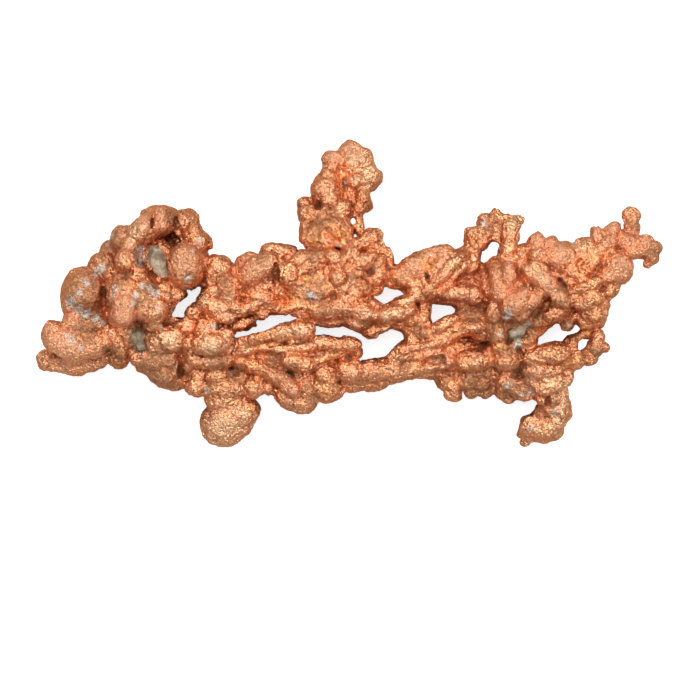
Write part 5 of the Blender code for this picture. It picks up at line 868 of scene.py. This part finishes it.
def chipped_grain(name, lumps, step):
    """A grain of rock with a chipped skin, in millimetres and in the box of its solid."""
    grain = melted_skin(f"{name}_rock", drooped(lumps), step)
    texture = bpy.data.textures.new(f"{name} chips", "VORONOI")
    texture.noise_scale = GRAIN_CHIPS
    texture.noise_intensity = 1.2
    apply_modifier(grain, "REMESH", mode="VOXEL", voxel_size=step)
    apply_modifier(grain, "DISPLACE", texture=texture, texture_coords="LOCAL", mid_level=0.5,
                   strength=GRAIN_CHIP_DEPTH)
    fit_to_box(grain, *widened(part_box(name), PALE_GRAIN_SHARE if name == "pale_grain" else 1.0))
    smooth_all_over(grain)
    return grain


# ---- parting at the forks ----

def within(points, border):
    """Which of the points lie inside the border, seen from above."""
    inside = np.zeros(len(points), dtype=bool)
    for (x0, y0), (x1, y1) in zip(border, border[1:] + border[:1]):
        spans = (y0 > points[:, 1]) != (y1 > points[:, 1])
        rise = (y1 - y0) if y1 != y0 else 1e-9  # a level stretch spans no point
        crossing = x0 + (points[:, 1] - y0) * (x1 - x0) / rise
        inside ^= spans & (points[:, 0] < crossing)
    return inside


def with_neighbours(thing, owner):
    """The owners of the faces, once no face stands against most of the faces beside it."""
    faces = thing.data.polygons
    sides = np.empty(len(thing.data.loops), dtype=np.int32)
    thing.data.loops.foreach_get("edge_index", sides)
    corners = np.empty(len(faces), dtype=np.int32)
    faces.foreach_get("loop_total", corners)
    face_of = np.repeat(np.arange(len(faces)), corners)
    order = np.argsort(sides, kind="stable")
    shared = sides[order][:-1] == sides[order][1:]
    first, second = face_of[order][:-1][shared], face_of[order][1:][shared]
    for _ in range(VOTING_ROUNDS):
        votes = np.zeros((len(faces), len(TERRITORIES)))
        votes[np.arange(len(faces)), owner] = OWN_VOTE
        np.add.at(votes, (first, owner[second]), 1.0)
        np.add.at(votes, (second, owner[first]), 1.0)
        owner = votes.argmax(axis=1).astype(np.int32)
    return owner


def part_at_forks(metal):
    """Separate the skin into its branches along the borders, and close each at its cuts."""
    faces = metal.data.polygons
    centres = np.empty(len(faces) * 3)
    faces.foreach_get("center", centres)
    centres = centres.reshape(-1, 3)
    owner = np.zeros(len(faces), dtype=np.int32)
    metal.data.materials.clear()
    for number, (name, border) in enumerate(TERRITORIES.items()):
        metal.data.materials.append(bpy.data.materials.new(f"branch {name}"))
        owner[within(centres, border)] = number
    faces.foreach_set("material_index", with_neighbours(metal, owner))
    before = set(bpy.data.objects)
    take_up(metal)
    bpy.ops.object.mode_set(mode="EDIT")
    bpy.ops.mesh.select_all(action="SELECT")
    bpy.ops.mesh.separate(type="MATERIAL")
    bpy.ops.object.mode_set(mode="OBJECT")
    pieces = {}
    for thing in [metal] + [other for other in bpy.data.objects if other not in before]:
        name = thing.data.materials[thing.data.polygons[0].material_index].name.split(" ")[1]
        thing.name = thing.data.name = f"{name}_metal"
        pieces[name] = thing
    for name in TERRITORIES:
        close_cuts(pieces[name])
        bpy.data.materials.remove(bpy.data.materials[f"branch {name}"])
    return pieces


def close_cuts(thing):
    """Fill the open ends with flat faces, and leave the rest smooth."""
    thing.data.materials.clear()
    smooth_all_over(thing)
    take_up(thing)
    bpy.ops.object.mode_set(mode="EDIT")
    bpy.ops.mesh.select_all(action="DESELECT")
    bpy.ops.mesh.select_mode(type="VERT")
    bpy.ops.mesh.select_non_manifold(use_wire=False, use_boundary=False, use_multi_face=False,
                                     use_non_contiguous=False, use_verts=True)
    bpy.ops.mesh.edge_split(type="VERT")
    bpy.ops.mesh.select_all(action="DESELECT")
    bpy.ops.mesh.select_mode(type="EDGE")
    bpy.ops.mesh.select_non_manifold()
    bpy.ops.mesh.fill_holes(sides=0)
    bpy.ops.mesh.faces_shade_flat()
    bpy.ops.object.mode_set(mode="OBJECT")


# ---- finishes ----

def feed(tree, entry, value):
    """Join this input of a node to another node's output, or set it to a plain value."""
    if isinstance(value, bpy.types.NodeSocket):
        tree.links.new(value, entry)
    else:
        entry.default_value = value


def node(tree, kind, inputs=None, **settings):
    """A new node of this kind, with its settings made and its inputs fed."""
    made = tree.nodes.new(kind)
    for key, value in settings.items():
        setattr(made, key, value)
    for key, value in (inputs or {}).items():
        feed(tree, made.inputs[key], value)
    return made


def blend_colour(tree, share, first, second):
    """The first colour, with this share of the second one mixed in."""
    made = node(tree, "ShaderNodeMix", {0: share, 6: first, 7: second}, data_type="RGBA")
    return made.outputs[2]


def opaque(colour):
    """The colour with the fourth number that a shader's input takes."""
    return tuple(colour) + (1.0,)


def arithmetic(tree, operation, *values, clamp=False):
    """One step of arithmetic on numbers."""
    return node(tree, "ShaderNodeMath", dict(enumerate(values)), operation=operation,
                use_clamp=clamp).outputs[0]


def scaled(tree, value, share):
    """The value times this share."""
    return arithmetic(tree, "MULTIPLY", value, share)


def vector_arithmetic(tree, operation, first, second, give="Vector"):
    """One step of arithmetic on places or directions."""
    return node(tree, "ShaderNodeVectorMath", {0: first, 1: second}, operation=operation).outputs[give]


def spread(tree, value, low, high, bottom=0.0, top=1.0):
    """The value's range from low to high, spread over bottom to top and held there."""
    made = node(tree, "ShaderNodeMapRange", {"Value": value, "From Min": low, "From Max": high,
                                             "To Min": bottom, "To Max": top},
                interpolation_type="SMOOTHSTEP")
    return made.outputs["Result"]


def millimetres(tree):
    """The place on the piece, in millimetres."""
    place = node(tree, "ShaderNodeTexCoord")
    return node(tree, "ShaderNodeMapping", {"Vector": place.outputs["Object"],
                                            "Scale": (1000.0, 1000.0, 1000.0)}).outputs[0]


def noise_of(tree, place, scale, detail=2.0, roughness=0.5, distortion=0.0, give="Fac"):
    """Cloudy noise with this many waves to the millimetre."""
    return node(tree, "ShaderNodeTexNoise", {"Vector": place, "Scale": scale, "Detail": detail,
                                             "Roughness": roughness,
                                             "Distortion": distortion}).outputs[give]


def attribute(tree, name):
    """A number noted for each point of the piece."""
    return node(tree, "ShaderNodeAttribute", attribute_name=name).outputs["Fac"]


def grouped(tree, group, inputs):
    """The one number that a node group gives for these inputs."""
    return node(tree, "ShaderNodeGroup", inputs, node_tree=group).outputs[0]


def new_group(name, numbers, result):
    """A node group that turns a place and these numbers into one number, with its two ends."""
    group = bpy.data.node_groups.new(name, "ShaderNodeTree")
    group.interface.new_socket("Place", in_out="INPUT", socket_type="NodeSocketVector")
    for key, value in numbers.items():
        made = group.interface.new_socket(key, in_out="INPUT", socket_type="NodeSocketFloat")
        made.default_value = value
    group.interface.new_socket(result, in_out="OUTPUT", socket_type="NodeSocketFloat")
    return group, node(group, "NodeGroupInput").outputs, node(group, "NodeGroupOutput").inputs[result]


def crumple_group():
    """The fine relief of the metal: crumpled foil, tiny beads, tilted facets and grit."""
    group, given, height = new_group("Crumpled relief", {"Coarse": 1.0, "Fine": 1.0}, "Height")
    place = given["Place"]
    bend = node(group, "ShaderNodeVectorMath", {0: noise_of(group, place, scale=0.9, give="Color"),
                                                "Scale": 0.6}, operation="SCALE").outputs[0]
    bent = vector_arithmetic(group, "ADD", place, bend)
    cells = node(group, "ShaderNodeTexVoronoi", {"Vector": bent, "Scale": 2.5}, feature="F1").outputs
    hump = arithmetic(group, "SUBTRACT", 1.0,
                      arithmetic(group, "MULTIPLY", cells["Distance"], cells["Distance"]))
    arm = vector_arithmetic(group, "SUBTRACT", bent, cells["Position"])
    tilt = vector_arithmetic(group, "SUBTRACT", cells["Color"], (0.5, 0.5, 0.5))
    slope = vector_arithmetic(group, "DOT_PRODUCT", arm, tilt, give="Value")
    folds = arithmetic(group, "SUBTRACT", noise_of(group, bent, scale=1.3, detail=3.0, roughness=0.7),
                       0.5)
    ridges = scaled(group, arithmetic(group, "ABSOLUTE", folds), RELIEF["ridges"])
    beads = arithmetic(group, "ADD", scaled(group, hump, RELIEF["beads"]),
                       scaled(group, slope, RELIEF["facets"]))
    grit = scaled(group, noise_of(group, place, scale=4.4, roughness=0.6), RELIEF["grit"])
    coarse = scaled(group, arithmetic(group, "ADD", ridges, beads), given["Coarse"])
    fine = scaled(group, grit, given["Fine"])
    group.links.new(arithmetic(group, "ADD", coarse, fine), height)
    return group


def ragged_group():
    """A soft mask turned into one with a ragged, speckled edge."""
    group, given, patch = new_group("Ragged patch", {"Mask": 0.0, "Grain": 1.0, "Edge": 0.15}, "Patch")
    speckle = noise_of(group, given["Place"], given["Grain"], detail=4.0, roughness=0.65)
    swing = scaled(group, arithmetic(group, "SUBTRACT", speckle, 0.5), 4.0)
    excess = arithmetic(group, "SUBTRACT", arithmetic(group, "ADD", given["Mask"], swing), 0.6)
    ragged = arithmetic(group, "DIVIDE", excess, given["Edge"], clamp=True)
    group.links.new(scaled(group, ragged, spread(group, given["Mask"], 0.0, 0.12)), patch)
    return group


def start_material(name, metallic, roughness):
    """A new material, its node tree and its shader."""
    material = bpy.data.materials.new(name)
    material.use_nodes = True
    tree = material.node_tree
    shader = tree.nodes["Principled BSDF"]
    shader.inputs["Metallic"].default_value = metallic
    shader.inputs["Roughness"].default_value = roughness
    return material, tree, shader


def add_relief(tree, shader, height, strength):
    """Give the shader the relief of this height."""
    bump = node(tree, "ShaderNodeBump", {"Strength": strength, "Distance": BUMP_HEIGHT, "Height": height})
    tree.links.new(bump.outputs[0], shader.inputs["Normal"])


def copper_material(look, crumple, ragged):
    """Copper with tarnish and rock flour, paler where it is worn and lit, and with painted light and shade:
    painted highlights and golden glints, painted shade in the creases, hollows and crevices, and painted
    red reflection in the hollows.
    """
    material, tree, shader = start_material("Crinkled copper", 1.0, 0.4)
    place = millimetres(tree)
    mark = {name: attribute(tree, name) for name in MARKS}
    rough = spread(tree, noise_of(tree, place, scale=0.42), 0.38, 0.62, 0.85, 1.3)
    height = grouped(tree, crumple, {"Place": place, "Coarse": rough,
                                     "Fine": spread(tree, mark["worn"], 0.0, 1.0, 1.0, 1.6)})
    slow = noise_of(tree, place, scale=0.28, detail=3.0, roughness=0.55)
    quick = noise_of(tree, place, scale=1.9, detail=4.0, roughness=0.65)
    gilt, brown, pale = [grouped(tree, ragged, {"Place": place, "Mask": mark[name], "Grain": grain,
                                                "Edge": edge})
                         for name, (grain, edge) in RAGGED_MARKS.items()]
    # painted shade: the relief's low places and the creases are painted umber
    dip_shade = arithmetic(tree, "ADD", spread(tree, height, 0.8, 0.3, 0.0, 0.65),
                     spread(tree, mark["crease"], 0.25, 1.3, 0.0, 0.8), clamp=True)
    layers = [
        # how much of each colour lies over the ones before it
        (spread(tree, slow, 0.35, 0.68), look.rose),
        # worn metal, paler, and painted highlight on the lumps' lit tops
        (scaled(tree, mark["worn"], 0.6), WORN_AND_LIT_COPPER),
        # painted highlight: brighter copper where the metal catches the most light
        (scaled(tree, mark["fresh"], 0.7), LIT_TOP_COPPER),
        # painted highlight: golden glints scattered by noise
        (spread(tree, quick, 0.52, 0.66, 0.0, 0.8), look.glint_gold),
        # painted highlight: golden glints on the listed places
        (scaled(tree, gilt, 0.7), GILT_GLINT),
        (dip_shade, look.umber_shade),
        # painted shade: the hollows are painted umber
        (spread(tree, mark["hollow"], 0.15, 1.2, 0.0, 0.85), look.umber_shade),
        # painted reflection: deep red in the hollows' shade
        (scaled(tree, mark["glow"], 0.6), look.reflected_red),
        # painted shade: near-black brown in the crevices
        (scaled(tree, mark["crevice"], 0.85), CREVICE_SHADE),
        (scaled(tree, mark["tarnish"], 0.36), TARNISH_RIM),
        (scaled(tree, brown, 0.8), look.tarnish),
    ]
    colour = opaque(look.copper)
    for share, tint in layers:
        colour = blend_colour(tree, share, colour, opaque(tint))
    speck = noise_of(tree, place, scale=4.2, detail=3.0, roughness=0.7)
    flour = blend_colour(tree, spread(tree, speck, 0.36, 0.56), opaque(DARK_FLOUR), opaque(look.flour))
    colour = blend_colour(tree, scaled(tree, pale, 0.9), colour, flour)
    tree.links.new(colour, shader.inputs["Base Color"])
    # tarnish, and painted shade in creases and crevices, make the metal less metallic, so that it shows
    # dark brown
    tarnish_and_shade = arithmetic(tree, "MAXIMUM", scaled(tree, brown, 0.4),
                        spread(tree, mark["crease"], 0.4, 1.6, 0.0, 0.6))
    tarnish_and_shade = arithmetic(tree, "MAXIMUM", tarnish_and_shade, scaled(tree, mark["crevice"], 0.8))
    bare = arithmetic(tree, "SUBTRACT", 1.0, arithmetic(tree, "MAXIMUM", pale, tarnish_and_shade))
    tree.links.new(bare, shader.inputs["Metallic"])
    duller = scaled(tree, arithmetic(tree, "MAXIMUM", mark["worn"], brown), 0.05)
    dull = arithmetic(tree, "ADD", spread(tree, quick, 0.38, 0.62, 0.37, 0.21),
                      arithmetic(tree, "MAXIMUM", scaled(tree, pale, 0.3), duller))
    tree.links.new(dull, shader.inputs["Roughness"])
    shader.inputs["Specular Tint"].default_value = opaque(GLANCING_COPPER)
    add_relief(tree, shader, height, 1.0)
    return material


def rock_material(name, colours, cracks_per_mm, crumple):
    """Dull rock, light and dark in patches, with dark cracks and specks of another colour."""
    material, tree, shader = start_material(name, 0.0, 0.7)
    place = millimetres(tree)
    light, dark, specks = [opaque(colours[key]) for key in ("light", "dark", "specks")]
    broad = noise_of(tree, place, scale=0.55, detail=4.0, roughness=0.6, distortion=0.6)
    colour = blend_colour(tree, spread(tree, broad, 0.38, 0.64), light, dark)
    cracks = node(tree, "ShaderNodeTexVoronoi", {"Vector": place, "Scale": cracks_per_mm},
                  feature="DISTANCE_TO_EDGE").outputs["Distance"]
    colour = blend_colour(tree, spread(tree, cracks, 0.0, 0.09, 0.55, 0.0), colour, dark)
    speck = noise_of(tree, place, scale=3.4, detail=3.0, roughness=0.6)
    colour = blend_colour(tree, spread(tree, speck, 0.58, 0.7, 0.0, 0.6), colour, specks)
    tree.links.new(colour, shader.inputs["Base Color"])
    tree.links.new(spread(tree, speck, 0.3, 0.7, 0.82, 0.5), shader.inputs["Roughness"])
    add_relief(tree, shader, grouped(tree, crumple, {"Place": place, "Coarse": 0.6, "Fine": 1.6}), 0.7)
    return material


def floor_material():
    """A pale floor. The camera sees it evenly bright, and the metal mirrors its plain colour.

    Light Path parts the two, so that the floor stays pale in view without lighting the nugget.
    """
    material, tree, shader = start_material("Pale floor", 0.0, 0.9)
    seen = node(tree, "ShaderNodeLightPath").outputs["Is Camera Ray"]
    feed(tree, shader.inputs["Base Color"],
         blend_colour(tree, seen, opaque(FLOOR_UNDER_LIGHT), opaque(FLOOR_IN_VIEW)))
    feed(tree, shader.inputs["Emission Strength"], 1.0)
    feed(tree, shader.inputs["Emission Color"],
         blend_colour(tree, seen, opaque(BLACK), opaque(FLOOR_GLOW_IN_VIEW)))
    return material


# ---- settings ----

class NuggetSizes(PropertyGroup):
    """Sizes that a user may change"""
    skin_step: FloatProperty(
        name="Skin step", description="Spacing of the metal's skin, in millimetres",
        default=0.19, min=0.15, max=1.0)
    crust_depth: FloatProperty(
        name="Crust depth", description="How deep the crinkled crust is, as a share of its usual depth",
        default=1.0, min=0.0, max=2.0, subtype="FACTOR")
    grain_step: FloatProperty(
        name="Grain step", description="Spacing of the rock grains' skin, in millimetres",
        default=0.1, min=0.05, max=0.5)


class NuggetLooks(PropertyGroup):
    """Colours that a user may change"""
    copper: FloatVectorProperty(
        name="Copper", description="The bare metal", subtype="COLOR", size=3, min=0.0, max=1.0,
        default=(0.82, 0.35, 0.165))
    rose: FloatVectorProperty(
        name="Rose", description="The paler, pinker metal", subtype="COLOR", size=3, min=0.0, max=1.0,
        default=(0.87, 0.41, 0.23))
    # painted highlight: the colour of the golden glints
    glint_gold: FloatVectorProperty(
        name="Gold", description="The golden glints", subtype="COLOR", size=3, min=0.0, max=1.0,
        default=(0.98, 0.50, 0.20))
    # painted shade: the umber painted into creases and hollows
    umber_shade: FloatVectorProperty(
        name="Umber", description="The brown of the creases", subtype="COLOR", size=3, min=0.0, max=1.0,
        default=(0.25, 0.115, 0.065))
    # painted reflection: the red painted into the hollows
    reflected_red: FloatVectorProperty(
        name="Ember", description="The deep red of the hollows", subtype="COLOR", size=3, min=0.0,
        max=1.0, default=(0.48, 0.15, 0.06))
    tarnish: FloatVectorProperty(
        name="Tarnish", description="The brown and olive tarnish", subtype="COLOR", size=3, min=0.0,
        max=1.0, default=(0.33, 0.15, 0.068))
    flour: FloatVectorProperty(
        name="Rock flour", description="The pale grey flecks", subtype="COLOR", size=3, min=0.0,
        max=1.0, default=(0.68, 0.64, 0.58))


# ---- operators ----

class NUGGET_OT_metal(Operator):
    """Melt the lumps into one skin, roughen it and part it into its branches"""
    bl_idname = "nugget.metal"
    bl_label = "Metal"

    def execute(self, context):
        sizes, looks = context.scene.nugget_sizes, context.scene.nugget_looks
        metal = metal_skin(sizes.skin_step, sizes.crust_depth)
        copper = copper_material(looks, crumple_group(), ragged_group())
        for name, piece in part_at_forks(metal).items():
            piece.data.materials.append(copper)
            bring_to_metres(piece)
            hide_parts(name)
            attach(piece, "root")
        return {"FINISHED"}


class NUGGET_OT_grains(Operator):
    """Set the grains of rock into their pockets"""
    bl_idname = "nugget.grains"
    bl_label = "Grains of rock"

    def execute(self, context):
        crumple = bpy.data.node_groups["Crumpled relief"]
        pale = rock_material("Pale rock", PALE_ROCK, 0.8, crumple)
        dark = rock_material("Dark rock", DARK_ROCK, 1.3, crumple)
        for name, lumps in GRAINS.items():
            grain = chipped_grain(name, lumps, context.scene.nugget_sizes.grain_step)
            grain.data.materials.clear()
            grain.data.materials.append(dark if name == "dark_grain" else pale)
            bring_to_metres(grain)
            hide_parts(name)
            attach(grain, "root")
        return {"FINISHED"}


def soft_light(name, place, width, power):
    """Hang a square light here, turned towards the nugget."""
    deselect()
    bpy.ops.object.light_add(type="AREA", location=place)
    light = bpy.context.object
    light.name = name
    light.data.shape = "SQUARE"
    light.data.size = width
    light.data.energy = power
    way = (np.array(LIGHTS_AIM) - np.array(place)).tolist()
    light.rotation_euler = Vector(way).to_track_quat("-Z", "Y").to_euler()


def soft_sky():
    """An even white sky."""
    world = bpy.data.worlds.new("soft sky")
    world.use_nodes = True
    sky = world.node_tree.nodes["Background"]
    sky.inputs["Color"].default_value = (1.0, 1.0, 1.0, 1.0)
    sky.inputs["Strength"].default_value = SKY_STRENGTH
    return world


class NUGGET_OT_stage(Operator):
    """Lay the pale floor, hang the soft lights and set the camera straight above"""
    bl_idname = "nugget.stage"
    bl_label = "Stage"

    def execute(self, context):
        deselect()
        bpy.ops.mesh.primitive_plane_add(size=FLOOR_WIDTH, location=(0.0, 0.0, 0.0))
        floor = bpy.context.object
        floor.name = floor.data.name = "floor"
        floor.data.materials.append(floor_material())
        for name, place, width, power in LIGHTS:
            soft_light(name, place, width, power)
        context.scene.world = soft_sky()
        context.scene.view_settings.view_transform = "Standard"
        bpy.ops.object.camera_add(location=CAMERA_PLACE, rotation=(0.0, 0.0, 0.0))
        camera = bpy.context.object
        camera.data.sensor_width = FILM_WIDTH
        camera.data.lens = FILM_WIDTH * CAMERA_REACH / VIEW_WIDTH
        camera.data.clip_end = 10.0
        context.scene.camera = camera
        return {"FINISHED"}


class NUGGET_PT_panel(Panel):
    """The nugget's settings and its operators"""
    bl_label = "Copper nugget"
    bl_space_type = "VIEW_3D"
    bl_region_type = "UI"
    bl_category = "Nugget"

    def draw(self, context):
        for settings in (context.scene.nugget_sizes, context.scene.nugget_looks):
            for key in settings.__annotations__:
                self.layout.prop(settings, key)
        for operator in (NUGGET_OT_metal, NUGGET_OT_grains, NUGGET_OT_stage):
            self.layout.operator(operator.bl_idname)


CLASSES = (NuggetSizes, NuggetLooks, NUGGET_OT_metal, NUGGET_OT_grains, NUGGET_OT_stage, NUGGET_PT_panel)


def register():
    """Add the classes and the scene's settings."""
    for kind in CLASSES:
        bpy.utils.register_class(kind)
    bpy.types.Scene.nugget_sizes = PointerProperty(type=NuggetSizes)
    bpy.types.Scene.nugget_looks = PointerProperty(type=NuggetLooks)


def unregister():
    """Take them away again."""
    del bpy.types.Scene.nugget_looks
    del bpy.types.Scene.nugget_sizes
    for kind in reversed(CLASSES):
        bpy.utils.unregister_class(kind)


def main():
    """Build the nugget and its stage."""
    register()
    bpy.ops.nugget.metal()
    bpy.ops.nugget.grains()
    bpy.ops.nugget.stage()


if __name__ == "__main__":
    main()
